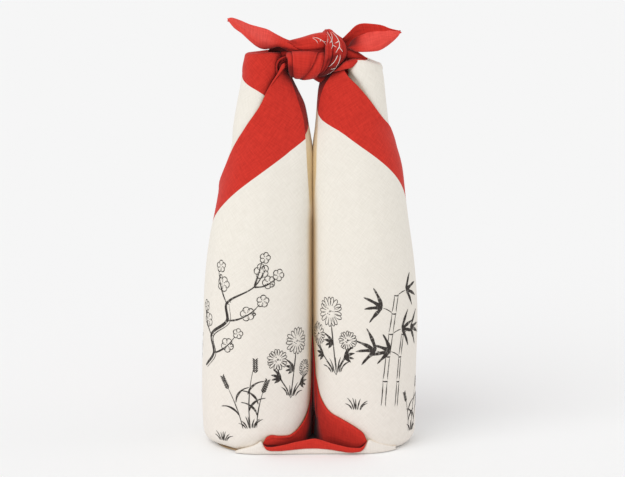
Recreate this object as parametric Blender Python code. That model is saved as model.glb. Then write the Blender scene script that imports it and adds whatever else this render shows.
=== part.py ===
"""Furoshiki wrap: one square hemmed cloth rolled round two bottles and tied over their mouths.

The cloth is a single piece, so the model is a single closed solid.  It is the
wound form of the two rolls with the helical step of the cloth's hem, the
gussets of the tube that joins the rolls under the bottles, the square knot
between the two mouths, and the two free corners as thin sheets.
Sizes are in millimetres and turned into metres as the vertices are made.
The origin is the middle of the base, +X to the right, -Y to the front, +Z up.
"""
import math
from collections import namedtuple

import bmesh
import bpy
from mathutils import Matrix, Vector

MM = 0.001
OBJECT = "furoshiki_wrap"
NODE = "furoshiki"
RED = (0.62, 0.035, 0.028, 1.0)
ROUGHNESS = 0.9
SHARP_ANGLE = math.radians(40)

SEAM_X = 2.4             # the seam between the rolls is this far right of the base's middle

# ---------------------------------------------------------------- the rolls
ROLL_COLUMNS = 34        # points round a roll's section
HEM_STEP = 1.5           # how far the outer turn's hem stands off the turn under it
BASE_ROUND = 9.0         # rounding of a roll's foot on its outer side
FRONT_ROUND_SHARE = 0.3  # share of it left at the foot's front and back
BASE_ROUND_RINGS = 4
MOUTH_ROUND = 3.0        # rounding of the cloth over a bottle's mouth
MOUTH_ROUND_RINGS = 2
RING_RISE = 12.0         # greatest height between a roll's sections
RING_TWIST = 13.0        # greatest turn of the hem between them, in degrees
RISE_CUT = 0.8           # share of that height left by each step of making it smaller
SEAM_FREE = 4.0          # gap to the middle plane past which a roll's hem step is whole

# height, reach away from the other roll, reach towards it, half depth
Section = namedtuple("Section", "z outer inner depth")
LEFT_ROLL = (
    Section(0.0, 84.0, 0.0, 42.0),
    Section(23.0, 85.2, 0.0, 42.5),
    Section(59.0, 85.2, 0.2, 42.5),
    Section(95.0, 84.0, 0.2, 42.0),
    Section(130.0, 82.0, 0.2, 40.5),
    Section(160.0, 78.6, 0.2, 37.6),
    Section(185.0, 73.4, 0.2, 34.0),
    Section(202.0, 70.0, 0.2, 31.4),
    Section(219.0, 65.0, 0.3, 29.0),
    Section(231.0, 61.0, 1.4, 27.0),
    Section(244.0, 59.2, 2.8, 24.8),
    Section(262.0, 57.0, 7.2, 22.0),
    Section(280.0, 54.3, 15.4, 19.0),
    Section(290.0, 52.9, 18.6, 17.0),
    Section(302.0, 51.4, 20.4, 15.5),
)
RIGHT_ROLL = (
    Section(0.0, 79.4, 0.0, 40.2),
    Section(23.0, 80.0, 0.0, 40.6),
    Section(59.0, 80.4, 0.2, 40.6),
    Section(95.0, 80.4, 0.2, 40.4),
    Section(118.0, 79.5, 0.2, 40.0),
    Section(142.0, 77.4, 0.2, 38.6),
    Section(165.0, 74.6, 0.2, 36.4),
    Section(188.0, 71.8, 0.2, 33.4),
    Section(211.0, 69.0, 0.2, 30.4),
    Section(222.0, 66.4, 0.3, 29.0),
    Section(234.0, 62.2, 0.6, 27.2),
    Section(244.0, 58.8, 1.4, 25.6),
    Section(262.0, 56.4, 3.2, 22.2),
    Section(275.0, 54.9, 6.4, 19.8),
    Section(286.0, 53.4, 16.0, 17.4),
    Section(297.0, 51.6, 23.0, 14.6),
)

# where the hem crosses each height, in degrees round the roll: 0 is the side away
# from the other roll, 90 the front, 180 the seam between the rolls, -90 the back
Hem = namedtuple("Hem", "z turn")
LEFT_HEM = (
    Hem(0.0, -266.0),
    Hem(11.0, -263.0),
    Hem(13.5, -250.0),
    Hem(18.5, -230.0),
    Hem(27.0, -220.0),
    Hem(36.0, -209.0),
    Hem(63.0, -192.0),
    Hem(106.0, -176.0),
    Hem(172.0, -90.0),
    Hem(229.0, 0.0),
    Hem(250.0, 53.0),
    Hem(262.0, 72.0),
    Hem(272.0, 86.0),
    Hem(280.0, 104.0),
    Hem(287.0, 130.0),
    Hem(293.0, 158.0),
    Hem(302.0, 180.0),
)
RIGHT_HEM = (
    Hem(0.0, -276.0),
    Hem(14.7, -271.0),
    Hem(22.0, -258.0),
    Hem(29.0, -237.0),
    Hem(37.0, -222.0),
    Hem(46.0, -211.0),
    Hem(61.0, -201.0),
    Hem(90.0, -185.0),
    Hem(180.0, -90.0),
    Hem(242.0, 0.0),
    Hem(253.0, 32.0),
    Hem(270.0, 64.0),
    Hem(279.0, 86.0),
    Hem(285.0, 108.0),
    Hem(290.0, 134.0),
    Hem(297.0, 165.0),
)

# -------------------------------------------- the gussets between the rolls
# distance from the middle plane out to the gusset's section, and its height there
GussetPoint = namedtuple("GussetPoint", "y z")
GUSSET = (
    GussetPoint(-40.6, 0.0),
    GussetPoint(-42.4, 3.0),
    GussetPoint(-42.2, 11.0),
    GussetPoint(-40.2, 11.6),
    GussetPoint(-38.6, 9.0),
    GussetPoint(-37.0, 5.0),
    GussetPoint(-28.0, 9.0),
    GussetPoint(-18.0, 30.0),
    GussetPoint(-8.0, 66.0),
    GussetPoint(2.0, 68.0),
    GussetPoint(2.0, 0.0),
)
# how the gusset's front and height shrink towards its two ends
GussetEnd = namedtuple("GussetEnd", "x front height")
GUSSET_ENDS = (
    GussetEnd(-40.0, 0.96, 0.45),
    GussetEnd(-36.0, 0.985, 0.62),
    GussetEnd(-20.0, 1.0, 0.80),
    GussetEnd(0.0, 1.0, 1.0),
    GussetEnd(22.0, 1.0, 0.78),
    GussetEnd(36.0, 0.97, 0.45),
    GussetEnd(39.0, 0.94, 0.35),
)

# ------------------------------------ the knot's strands and the free corners
# a strand's middle line, its half width, its half thickness, and the lean of its
# width about that line
Strand = namedtuple("Strand", "x y z wide thick lean")
UPRIGHT, CROSSWISE = (0.0, 0.0, 1.0), (1.0, 0.0, 0.0)   # the ways that a strand's width lies
STRAND_POINTS = 14       # points round a strand's section
STRAND_RINGS = 3         # sections for each row of its table
SHEET_HALF = 1.1         # half thickness of a free corner
STRANDS = (
    ("under_pass", UPRIGHT, (
        Strand(-26.0, -1.0, 296.0, 6.0, 9.0, 0.0),
        Strand(-12.0, -1.0, 299.0, 9.0, 12.0, 0.0),
        Strand(3.0, 0.0, 299.0, 11.0, 14.0, 0.0),
        Strand(17.0, 1.0, 298.0, 9.0, 12.0, 0.0),
        Strand(33.0, 1.0, 292.0, 4.5, 9.0, 0.0),
    )),
    ("front_wrap_left", CROSSWISE, (
        Strand(-16.5, 6.0, 286.0, 3.6, 3.6, 0.0),
        Strand(-15.6, -8.0, 284.6, 3.6, 3.6, 0.0),
        Strand(-16.4, -15.6, 289.0, 3.6, 3.6, 0.0),
        Strand(-16.8, -17.0, 296.0, 3.6, 3.6, 0.0),
        Strand(-17.0, -12.5, 300.6, 3.4, 3.4, 0.0),
        Strand(-16.0, -2.0, 303.0, 3.0, 3.0, 0.0),
    )),
    ("front_wrap_middle", CROSSWISE, (
        Strand(-9.0, 8.0, 287.0, 6.0, 4.0, 0.0),
        Strand(-10.0, -9.0, 286.0, 6.0, 4.0, 0.0),
        Strand(-9.4, -17.6, 290.0, 7.0, 4.2, 0.0),
        Strand(-7.6, -19.0, 296.0, 8.0, 4.2, 0.0),
        Strand(-6.6, -14.0, 300.8, 8.0, 4.0, 0.0),
        Strand(-6.0, -2.0, 303.4, 8.0, 3.6, 0.0),
    )),
    ("front_wrap_right", CROSSWISE, (
        Strand(0.0, 8.0, 287.0, 6.0, 4.0, 0.0),
        Strand(-0.4, -8.0, 287.0, 6.0, 4.0, 0.0),
        Strand(1.2, -16.4, 290.6, 6.0, 4.2, 0.0),
        Strand(4.0, -17.6, 296.4, 6.4, 4.2, 0.0),
        Strand(5.4, -13.0, 301.0, 6.0, 4.0, 0.0),
        Strand(6.0, -2.0, 303.4, 5.0, 3.6, 0.0),
    )),
    ("top_pass", UPRIGHT, (
        Strand(-23.0, -6.0, 307.4, 3.4, 2.6, 0.0),
        Strand(-16.0, -8.0, 307.0, 4.4, 5.0, 0.0),
        Strand(-4.0, -7.4, 308.2, 5.2, 7.6, 0.0),
        Strand(8.0, -4.0, 309.4, 6.2, 9.0, 0.0),
        Strand(18.0, 3.0, 306.0, 5.8, 8.0, 0.0),
        Strand(25.0, 9.0, 299.0, 5.0, 6.0, 0.0),
    )),
    ("right_wrap", CROSSWISE, (
        Strand(13.0, 10.0, 312.0, 6.6, 3.2, 0.0),
        Strand(12.6, -1.0, 314.6, 4.0, 3.2, 0.0),
        Strand(15.4, -10.0, 309.6, 7.6, 3.4, -4.0),
        Strand(17.0, -14.4, 301.6, 9.2, 3.6, -12.0),
        Strand(14.0, -13.6, 293.4, 9.0, 3.6, -28.0),
        Strand(7.0, -9.0, 288.4, 7.0, 3.6, -40.0),
        Strand(-2.0, 0.0, 286.4, 5.0, 3.0, -40.0),
    )),
    ("left_lead", UPRIGHT, (
        Strand(-44.0, 0.0, 297.6, 4.6, 12.4, 0.0),
        Strand(-32.0, 0.0, 295.6, 7.0, 13.4, 0.0),
        Strand(-22.0, -1.0, 294.0, 8.4, 11.4, 0.0),
        Strand(-12.0, -2.0, 295.0, 8.0, 9.6, 0.0),
    )),
    ("right_lead", UPRIGHT, (
        Strand(45.0, 0.0, 292.4, 4.4, 11.4, 0.0),
        Strand(35.0, 0.0, 292.0, 6.0, 12.6, 0.0),
        Strand(24.0, -1.0, 291.6, 6.4, 11.0, 0.0),
        Strand(14.0, -1.0, 295.0, 7.0, 9.6, 0.0),
    )),
    ("left_corner", UPRIGHT, (
        Strand(-8.0, -7.0, 308.0, 2.4, SHEET_HALF, 0.0),
        Strand(-19.0, -7.0, 306.6, 4.4, SHEET_HALF, 6.0),
        Strand(-28.0, -7.6, 307.8, 7.8, SHEET_HALF, 12.0),
        Strand(-37.0, -8.6, 310.6, 9.4, SHEET_HALF, 20.0),
        Strand(-46.0, -9.4, 315.6, 8.0, SHEET_HALF, 26.0),
        Strand(-55.0, -9.4, 320.8, 5.2, SHEET_HALF, 30.0),
        Strand(-63.2, -9.0, 325.4, 1.6, SHEET_HALF, 34.0),
    )),
    ("right_corner", UPRIGHT, (
        Strand(14.0, 3.0, 303.0, 4.0, SHEET_HALF, 0.0),
        Strand(24.0, 0.0, 305.6, 4.0, SHEET_HALF, -12.0),
        Strand(31.0, -3.0, 309.8, 7.8, SHEET_HALF, -18.0),
        Strand(38.0, -6.0, 312.6, 10.4, SHEET_HALF, -16.0),
        Strand(46.0, -8.0, 313.8, 10.4, SHEET_HALF, -8.0),
        Strand(55.0, -9.0, 314.6, 7.4, SHEET_HALF, 0.0),
        Strand(62.0, -9.0, 315.6, 3.8, SHEET_HALF, 6.0),
        Strand(66.4, -9.0, 316.4, 1.2, SHEET_HALF, 8.0),
    )),
)


def table_curve(rows, key, names, at):
    """Read named columns of a table at a place between its rows, with smooth slopes."""
    places = [getattr(row, key) for row in rows]
    index = max(i for i in range(len(rows) - 1) if places[i] <= at or i == 0)
    low, high = rows[index], rows[index + 1]
    before, after = rows[max(index - 1, 0)], rows[min(index + 2, len(rows) - 1)]
    span = getattr(high, key) - getattr(low, key)
    t = min(max((at - getattr(low, key)) / span, 0.0), 1.0)
    values = []
    for name in names:
        y0, y1 = getattr(low, name), getattr(high, name)
        slope0 = (y1 - getattr(before, name)) / (getattr(high, key) - getattr(before, key))
        slope1 = (getattr(after, name) - y0) / (getattr(after, key) - getattr(low, key))
        ease0, ease1 = 2 * t**3 - 3 * t**2 + 1, -2 * t**3 + 3 * t**2
        lead0, lead1 = t**3 - 2 * t**2 + t, t**3 - t**2
        values.append(ease0 * y0 + lead0 * span * slope0 + ease1 * y1 + lead1 * span * slope1)
    return values


def loft(name, rings):
    """A closed solid from rings of equal length, with a flat cap at each end."""
    shape = bmesh.new()
    seam = Vector((SEAM_X, 0.0, 0.0))
    loops = [[shape.verts.new((Vector(point) + seam) * MM) for point in ring] for ring in rings]
    count = len(loops[0])
    for low, high in zip(loops, loops[1:]):
        for i in range(count):
            shape.faces.new((low[i], low[(i + 1) % count], high[(i + 1) % count], high[i]))
    shape.faces.new(list(reversed(loops[0])))
    shape.faces.new(loops[-1])
    bmesh.ops.triangulate(shape, faces=shape.faces[:])
    bmesh.ops.recalc_face_normals(shape, faces=shape.faces[:])
    mesh = bpy.data.meshes.new(name)
    shape.to_mesh(mesh)
    shape.free()
    return bpy.data.objects.new(name, mesh)


def roll_ring(rows, hems, side, z, inset, front_share):
    """One section of a roll: an oval that starts at the hem and ends one step further in."""
    outer, inner, depth = table_curve(rows, "z", ("outer", "inner", "depth"), z)
    start = table_curve(hems, "z", ("turn",), z)[0]
    middle, half = (outer + inner) / 2, (outer - inner) / 2
    ring = []
    for i in range(ROLL_COLUMNS + 1):
        part = i / ROLL_COLUMNS
        turn = math.radians(start + 360 * part)
        pressed = max(-math.cos(turn), 0.0)**2 * max(1 - inner / SEAM_FREE, 0.0)
        rounding = inset * (front_share + (1 - front_share) * max(math.cos(turn), 0.0))
        step = HEM_STEP * (1 - part) * (1 - pressed) - rounding
        x = middle + (half + step) * math.cos(turn)
        y = -(depth + step) * math.sin(turn)
        ring.append((side * x, y, z))
    return ring


def ring_heights(hems, bottom, top):
    """Heights of a roll's sections, closer together where the hem turns quickly."""
    heights = [bottom]
    while heights[-1] < top:
        here = heights[-1]
        turn = table_curve(hems, "z", ("turn",), here)[0]
        rise = RING_RISE
        while table_curve(hems, "z", ("turn",), here + rise)[0] - turn > RING_TWIST:
            rise *= RISE_CUT
        heights.append(min(here + rise, top))
    return heights


def roll(name, rows, hems, side):
    """A wound roll from its foot to the cloth over the mouth."""
    top = rows[-1].z
    rings = []
    for i in range(BASE_ROUND_RINGS):
        angle = math.pi / 2 * i / BASE_ROUND_RINGS
        z = BASE_ROUND * (1 - math.cos(angle))
        inset = BASE_ROUND * (1 - math.sin(angle))
        rings.append(roll_ring(rows, hems, side, z, inset, FRONT_ROUND_SHARE))
    for z in ring_heights(hems, BASE_ROUND, top - MOUTH_ROUND):
        rings.append(roll_ring(rows, hems, side, z, 0.0, 1.0))
    for i in range(1, MOUTH_ROUND_RINGS + 1):
        angle = math.pi / 2 * i / MOUTH_ROUND_RINGS
        z = top - MOUTH_ROUND * (1 - math.sin(angle))
        inset = MOUTH_ROUND * (1 - math.cos(angle))
        rings.append(roll_ring(rows, hems, side, z, inset, 1.0))
    return loft(name, rings)


def gusset(name, front):
    """The folded web that closes the groove between the rolls at the floor."""
    rings = []
    for end in GUSSET_ENDS:
        ring = [(end.x, front * point.y * end.front, point.z * end.height) for point in GUSSET]
        rings.append(ring)
    return loft(name, rings)


def strand(name, width_way, rows):
    """A flattened strand of cloth along a smooth line through its rows."""
    places = [0.0]
    for low, high in zip(rows, rows[1:]):
        places.append(places[-1] + (Vector(high[:3]) - Vector(low[:3])).length)
    Placed = namedtuple("Placed", ("at",) + Strand._fields)
    placed = [Placed(place, *row) for place, row in zip(places, rows)]
    count = STRAND_RINGS * (len(rows) - 1)
    lines = [table_curve(placed, "at", Strand._fields, places[-1] * i / count)
             for i in range(count + 1)]
    rings = []
    for i, (x, y, z, wide, thick, lean) in enumerate(lines):
        ahead, behind = lines[min(i + 1, count)], lines[max(i - 1, 0)]
        along = (Vector(ahead[:3]) - Vector(behind[:3])).normalized()
        face = along.cross(Vector(width_way)).normalized()
        face = Matrix.Rotation(math.radians(lean), 3, along) @ face
        across = face.cross(along)
        middle = Vector((x, y, z))
        ring = []
        for j in range(STRAND_POINTS):
            angle = 2 * math.pi * j / STRAND_POINTS
            ring.append(middle + across * wide * math.cos(angle) + face * thick * math.sin(angle))
        rings.append(ring)
    return loft(name, rings)


def joined(name, pieces):
    """One solid from overlapping pieces."""
    whole = pieces[0]
    whole.name = name
    for piece in pieces[1:]:
        union = whole.modifiers.new(piece.name, "BOOLEAN")
        union.operation = "UNION"
        union.solver = "MANIFOLD"
        union.object = piece
        bpy.context.view_layer.update()
        graph = bpy.context.evaluated_depsgraph_get()
        mesh = bpy.data.meshes.new_from_object(whole.evaluated_get(graph))
        whole.modifiers.clear()
        whole.data = mesh
        bpy.data.objects.remove(piece)
    return whole


def cloth_material():
    material = bpy.data.materials.new("cotton")
    material.use_nodes = True
    shader = material.node_tree.nodes["Principled BSDF"]
    shader.inputs["Base Color"].default_value = RED
    shader.inputs["Roughness"].default_value = ROUGHNESS
    shader.inputs["Metallic"].default_value = 0.0
    return material


def main():
    for thing in list(bpy.data.objects):
        bpy.data.objects.remove(thing)
    collection = bpy.data.collections.new(OBJECT)
    bpy.context.scene.collection.children.link(collection)
    pieces = [
        roll("left_roll", LEFT_ROLL, LEFT_HEM, -1.0),
        roll("right_roll", RIGHT_ROLL, RIGHT_HEM, 1.0),
        gusset("front_gusset", 1.0),
        gusset("back_gusset", -1.0),
    ]
    pieces += [strand(name, width_way, rows) for name, width_way, rows in STRANDS]
    for piece in pieces:
        collection.objects.link(piece)
    cloth = joined(NODE, pieces)
    cloth.data.materials.clear()
    cloth.data.materials.append(cloth_material())
    cloth.data.set_sharp_from_angle(angle=SHARP_ANGLE)


main()
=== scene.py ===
"""Looks of a furoshiki wrap: one hemmed square of slub cotton, rolled, folded and tied.

The cloth is one sheet.  Each roll is its spiral from the hem inwards, and the turns
run over the bottle's mouth and gather into the knot.  Shapes are worked out in
millimetres about the seam between the rolls, and placed in metres in the frame.
"""
import math
from collections import namedtuple

import bpy
import numpy as np
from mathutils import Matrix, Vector


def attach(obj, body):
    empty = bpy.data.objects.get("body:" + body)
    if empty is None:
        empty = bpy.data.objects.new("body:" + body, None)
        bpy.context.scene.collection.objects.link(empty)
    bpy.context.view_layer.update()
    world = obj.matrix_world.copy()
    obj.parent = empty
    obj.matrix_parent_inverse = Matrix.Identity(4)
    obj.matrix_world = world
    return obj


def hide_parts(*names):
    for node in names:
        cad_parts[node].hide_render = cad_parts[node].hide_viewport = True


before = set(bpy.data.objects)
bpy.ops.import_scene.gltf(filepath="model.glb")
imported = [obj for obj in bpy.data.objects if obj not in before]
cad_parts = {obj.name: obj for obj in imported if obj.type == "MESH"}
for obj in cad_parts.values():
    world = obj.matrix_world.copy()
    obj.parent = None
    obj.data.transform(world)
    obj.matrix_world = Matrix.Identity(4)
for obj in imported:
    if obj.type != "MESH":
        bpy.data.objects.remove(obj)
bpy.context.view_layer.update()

MM = 0.001
SEAM_X = 2.4  # the seam between the rolls, right of the base's middle
CLOTH_SIDE = 0.9  # side of the flat square, in metres


class Table:
    """Rows of numbers under named columns, the first of which says where a row lies.

    Numbers that a row leaves out at its end are 0.
    """

    def __init__(self, names, *rows):
        self.names = names.split()
        for spot, name in enumerate(self.names):
            column = [row[spot] if spot < len(row) else 0.0 for row in rows]
            setattr(self, name, np.array(column, dtype=float))

    def read(self, names, at, firm=False):
        """Columns at places between the rows: smooth, or firm and never past a row's number."""
        xs = getattr(self, self.names[0])
        at = np.asarray(at, dtype=float)
        low = np.clip(np.searchsorted(xs, at, side="right") - 1, 0, len(xs) - 2)
        span = xs[low + 1] - xs[low]
        t = as_share((at - xs[low]) / span)
        ease0, ease1 = 2 * t**3 - 3 * t**2 + 1, -2 * t**3 + 3 * t**2
        lead0, lead1 = t**3 - 2 * t**2 + t, t**3 - t**2
        columns = []
        for ys in [getattr(self, name) for name in names.split()]:
            rise = np.diff(ys) / np.diff(xs)
            slopes = np.empty(len(xs))
            slopes[0], slopes[-1] = rise[0], rise[-1]
            if firm:
                same = rise[:-1] * rise[1:] > 0
                both = np.where(same, rise[:-1] + rise[1:], 1.0)
                slopes[1:-1] = np.where(same, 2 * rise[:-1] * rise[1:] / both, 0.0)
            else:
                slopes[1:-1] = (ys[2:] - ys[:-2]) / (xs[2:] - xs[:-2])
            columns.append(ease0 * ys[low] + lead0 * span * slopes[low]
                           + ease1 * ys[low + 1] + lead1 * span * slopes[low + 1])
        return columns if len(columns) > 1 else columns[0]


def table_along(places, names, rows):
    """A table of rows that lie at places along a line."""
    return Table("at " + names, *[(place, *row) for place, row in zip(places, rows)])


def unit(vectors):
    """Vectors made one long."""
    return vectors / np.maximum(np.linalg.norm(vectors, axis=-1, keepdims=True), 1e-9)


def turned(first, second, angle):
    """Two ways across each other, turned by an angle."""
    c, s = np.cos(angle), np.sin(angle)
    return first * c + second * s, second * c - first * s


def distances(line):
    """How far along a line each of its points is."""
    steps = np.linalg.norm(np.diff(np.array(line, dtype=float), axis=0), axis=1)
    return np.concatenate([[0.0], np.cumsum(steps)])


def wrapped(turn):
    """Degrees round a roll brought between -180 and 180."""
    return (turn + 180.0) % 360.0 - 180.0


def as_share(values):
    """Values held between 0 and 1."""
    return np.clip(values, 0.0, 1.0)


def smooth(low, high, at):
    """A soft rise from 0 to 1 between two places."""
    t = as_share((np.asarray(at, dtype=float) - low) / (high - low))
    return t * t * (3 - 2 * t)


def bell(away, reach):
    """1 in the middle, dying away softly on both sides."""
    return np.exp(-(away / reach)**2)


# ------------------------------------------------------------------ the rolls
PITCH = 0.6  # rise from one turn of the cloth to the next
HEM_LIFT = 0.9  # how far the thick hem stands off the turn under it
HEM_REACH = 7.0  # distance over which the cloth comes back down from it
# the turned-under hem: distances from its edge, and how far in each lies
HEM_TURNED = ((5.0, 0.95), (2.5, 1.0), (1.0, 1.0), (0.2, 0.9), (-0.25, 0.5), (0.1, 0.1),
              (0.8, 0.0))
HEM_END = 2.2  # where the plain cloth's columns start
BORDER = 51.0  # width of the red border, measured round the roll
BASE_ROUND = 10.0  # height over which a roll's foot rounds in
BASE_ROWS = (6, 18, 32, 46, 60, 75)  # degrees of that round at which its rows lie
FOOT_CORNER = 45.0  # degrees round a roll where its foot's corners are
SEAM_FOOT = 11.0  # how far the feet draw back from each other at the floor
SEAM_FOOT_HIGH = 19.0  # and how high up this dies away
SEAM_FOOT_POWER = 8  # and how close to the seam it keeps
RIM_ROUND = 2.2  # rounding of the cloth over a mouth's rim
RIM_ROWS = (30, 60, 90)  # degrees of that round at which its rows lie
RIM_WIDE = 15.0  # a mouth's half width, which that round is a share of
ROW_RISE = 3.5  # height between rows of the cloth's mesh
RIM_ROW_RISE = 1.8  # the same near the mouth, where the hem climbs quickly
RIM_ROWS_FROM = 276.0  # height from which it is
TO_FOLD = 96  # columns from the hem to the pressed fold
PAST_FOLD = 56  # columns from there to the end of the turn that shows
FOLD_NEAREST = 12.0  # the nearest that the fold's columns come to the hem
FOLD_SNAP = 0.3  # distance between the columns on both sides of a fold
FOLD_MOST = 0.999  # the nearest that a fold comes to a section's ends, as a cosine
FOLD_FRONT = 25.0  # degrees over which the cloth rises to its pressed fold
WALL_FROM = 0.05  # degrees past it where the wall behind it starts
PAST_ROUND = 30.0  # how far more than once round the showing turn reaches
COARSE_STEP = 14.0  # step between columns on the hidden turns
FINE_REACH = 320.0  # how far round those start
TIED = 50.0  # what the knot takes up of the square's diagonal
YARN_RADIUS = 40.0  # radius by which the hem's turn round a roll is laid out flat
SNUG_PART = (0.9, 1.08)  # parts of a turn over which the cloth comes to lie snug
PRESSED_GAP = 4.0  # gap to the seam at which the turns aren't pressed there any more
RELIEF_FROM = 8.0  # height over which the wall's unevenness starts
DROOP_FROM = 277.0  # height from which a mouth droops away from the seam
DROOP_POWER = 1.5  # and how this grows above it
DROOP_BACK = -0.5  # how far round towards the seam the mouth's back droops, as a cosine
SEAM_FULL = 0.34  # how much fuller than an ellipse a roll is beside the seam
SEAM_FULL_TO = 0.7  # and the cosine towards the seam at which it is that full
FULL_TO = (230.0, 275.0)  # heights over which this dies away
SEAL_TO = (224.0, 240.0)  # and over which the walls behind the folds stop meeting
SEAL_REACH = 0.5  # share of the way to the seam's middle at which they meet
# painted shade on the red walls behind the pressed folds, more of it under the knot
WALL_SHADE = 0.42  # how closed in those walls are where they are red
TOP_SHADE = 0.6  # share of the rest that is closed in under the knot
TOP_SHADE_FROM = (268.0, 284.0)  # heights over which this grows
# painted light on the cream walls behind the folds, standing for light coming through them
GLOW_TO = (110.0, 190.0)  # heights over which light starts to come through the walls
GLOW_FADE = 0.35  # and how much of it goes again where they stand open
RED_MOUTH = 284.5  # height of the left mouth's red at its outer side
RED_MOUTH_FALL = (11.0, 70.0)  # how far this line falls over how many degrees
RED_MOUTH_SLANT = 0.9  # distance from it for each part of the height above it
LEAD_PLEATS = 15  # pleats round a gathered top
PLEAT_DEEP = 0.8  # their depth
PLEAT_FULL = 0.8  # share of the way in from which this stays
LEAD_TAPER = 0.35  # how much smaller each turn comes together than the one over it
LEAD_ROWS = np.linspace(0.08, 1.0, 11)  # shares of the way in at which its rows lie
LEAD_LONG = (1.0, 34.0)  # where the gathered cloth lies on the flat sheet, past the rim
# painted shade on the mouths' tops beside the knot, standing for the corners' shadow
GATHER_SHADE = 0.5  # how closed in the mouths' tops are beside the knot
GATHER_TO = (25.0, 32.0)  # and how far out this dies away
# the wound cloth's slow swell: height, waves round a roll, rise of one and share of the seed
SLACK = ((0.22, 2, 31.0, 1), (0.16, 3, -19.0, 2), (0.10, 5, 11.0, 3))

# a roll's section at a height: reach away from the seam, gap to it, half depth
SIZES = "outer inner depth"
SECTION = "z " + SIZES
# how far a foot rounds in at its outer side, at its corners, and at front and back
Foot = namedtuple("Foot", "side corner front")
# where a gathered top comes together, and its half width and height there
Lead = namedtuple("Lead", "x y z wide tall")
# the loose sections are of the outermost turn, and the tight ones of the turns under it;
# the hem and the line that the red border is measured from are degrees round the roll, by
# height, and the folds are the pressed fold's distance from the seam and how proud it is;
# red_to is how far out the gathered top is red
Roll = namedtuple(
    "Roll", "side foot loose tight hem border notch droop back_droop folds rim lead red_to seed")

LEFT_ROLL = Roll(
    side=-1.0, foot=Foot(9.0, 16.0, 4.0),
    loose=Table(
        SECTION,
        (0, 84, 0, 42), (23, 85.2, 0, 42.5), (59, 85.2, -0.3, 42.5), (95, 84, -0.3, 42),
        (130, 82, -0.3, 40.5), (160, 78.6, -0.3, 37.6), (185, 73.4, -0.3, 34),
        (202, 70, -0.1, 31.4), (219, 65.2, -0.2, 29), (231, 61.6, 0.2, 27), (244, 60.4, 2.4, 24.8),
        (262, 57.4, 5.6, 22), (272, 55.6, 10.2, 20.4), (280, 54.3, 14.2, 19), (290, 52.9, 18.6, 17),
        (302, 51.4, 20.4, 15.5)),
    tight=Table(
        SECTION,
        (0, 84, 0, 42), (130, 82, 0.6, 40.5), (160, 78, 2.4, 37), (185, 72.6, 5.4, 33),
        (210, 66.2, 9.6, 28.4), (231, 60.8, 13, 24.8), (250, 58.8, 16.2, 21.6),
        (270, 56.4, 18.6, 18.8), (284, 54.4, 20, 16.8), (302, 51.4, 20.4, 15.5)),
    hem=Table(
        "z turn",
        (0, -192), (63, -192), (106, -176), (172, -90), (186, -46), (197, -14), (206, 3),
        (216, 13.8), (228.7, 22.2), (237, 34.4), (247, 50), (260, 69.6), (268.2, 80.7), (274.5, 90),
        (280, 104), (287, 128), (293, 144), (302, 156)),
    border=Table(
        "z turn",
        (0, -192), (63, -186), (106, -163), (172, -74), (229, 17), (250, 68), (272, 92),
        (302, 180)),
    folds=Table(
        "z x height",
        (0, 1), (172, 1), (184, 1.9, 0.7), (198, 2.8, 1.2), (213, 3.8, 1.8), (228, 4.6, 2.4),
        (240, 5.4, 2.6), (253, 7.1, 2.6), (259, 8.9, 2.4), (266, 11.2, 2), (275, 14.2, 1.2),
        (285, 17.4), (302, 21)),
    notch=3.0, droop=1.6, back_droop=3.2, rim=302.2, lead=Lead(20.0, 0.5, 295.0, 9.0, 8.6),
    red_to=80.0, seed=1.0,
)
RIGHT_ROLL = Roll(
    side=1.0, foot=Foot(11.0, 8.0, 4.0),
    loose=Table(
        SECTION,
        (0, 79.4, 0, 40.2), (23, 80, 0, 40.6), (59, 80.4, -0.3, 40.6), (95, 80.4, -0.3, 40.4),
        (118, 79.5, -0.3, 40), (142, 77.4, -0.3, 38.6), (165, 74.6, -0.3, 36.4),
        (188, 71.8, -0.3, 33.4), (211, 69, -0.2, 30.4), (222, 66.4, -0.3, 29),
        (234, 62.2, 0.4, 27.2), (244, 58.8, 1.6, 25.6), (262, 56.4, 3.2, 22.2),
        (275, 54.9, 4.8, 19.8), (281, 54.2, 6.8, 18.6), (287, 53.4, 12, 17.2),
        (297.5, 51.6, 23, 14.6)),
    tight=Table(
        SECTION,
        (0, 79.4, 0, 40.2), (118, 79.5, 0.4, 40), (142, 77.2, 1.4, 38.2), (165, 74, 3.8, 35.2),
        (188, 70.8, 7.6, 31.4), (211, 67.4, 12, 27.4), (234, 61.4, 16, 22.8),
        (250, 57.8, 18.4, 19.8), (270, 55.4, 21.4, 17), (284, 53.6, 22.6, 15.6),
        (297.5, 51.6, 23, 14.6)),
    hem=Table(
        "z turn",
        (0, -200), (61, -200), (90, -185), (180, -90), (242, 3), (253, 36.5), (270, 67), (279, 86),
        (285, 106), (290, 124), (297.5, 138)),
    border=Table(
        "z turn",
        (0, -200), (61, -200), (90, -185), (180, -92), (242, -2.5), (253, 36), (270, 64),
        (297.5, 165)),
    folds=Table(
        "z x height",
        (0, 0.6), (170, 0.6), (183, 0.7, 0.5), (198, 1.6, 1.2), (213, 2.7, 1.8), (228, 3, 1.8),
        (243, 3.6, 1.6), (256, 4, 1.2), (267, 5.4, 1.8), (278, 9.2, 2.4), (284, 13.4, 1.8),
        (290, 17), (297.5, 23)),
    notch=0.0, droop=4.6, back_droop=0.0, rim=297.6, lead=Lead(22.0, 0.0, 294.6, 9.0, 8.0),
    red_to=39.5, seed=4.0,
)
ROLLS = (LEFT_ROLL, RIGHT_ROLL)

BODY_RADIUS = 41.0  # a roll's usual radius
ARC = math.radians(1.0) * BODY_RADIUS  # length of one degree round a roll's body
CREASE_ENDS = (0.12, 0.88)  # shares of a crease's length outside which it ends
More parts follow.
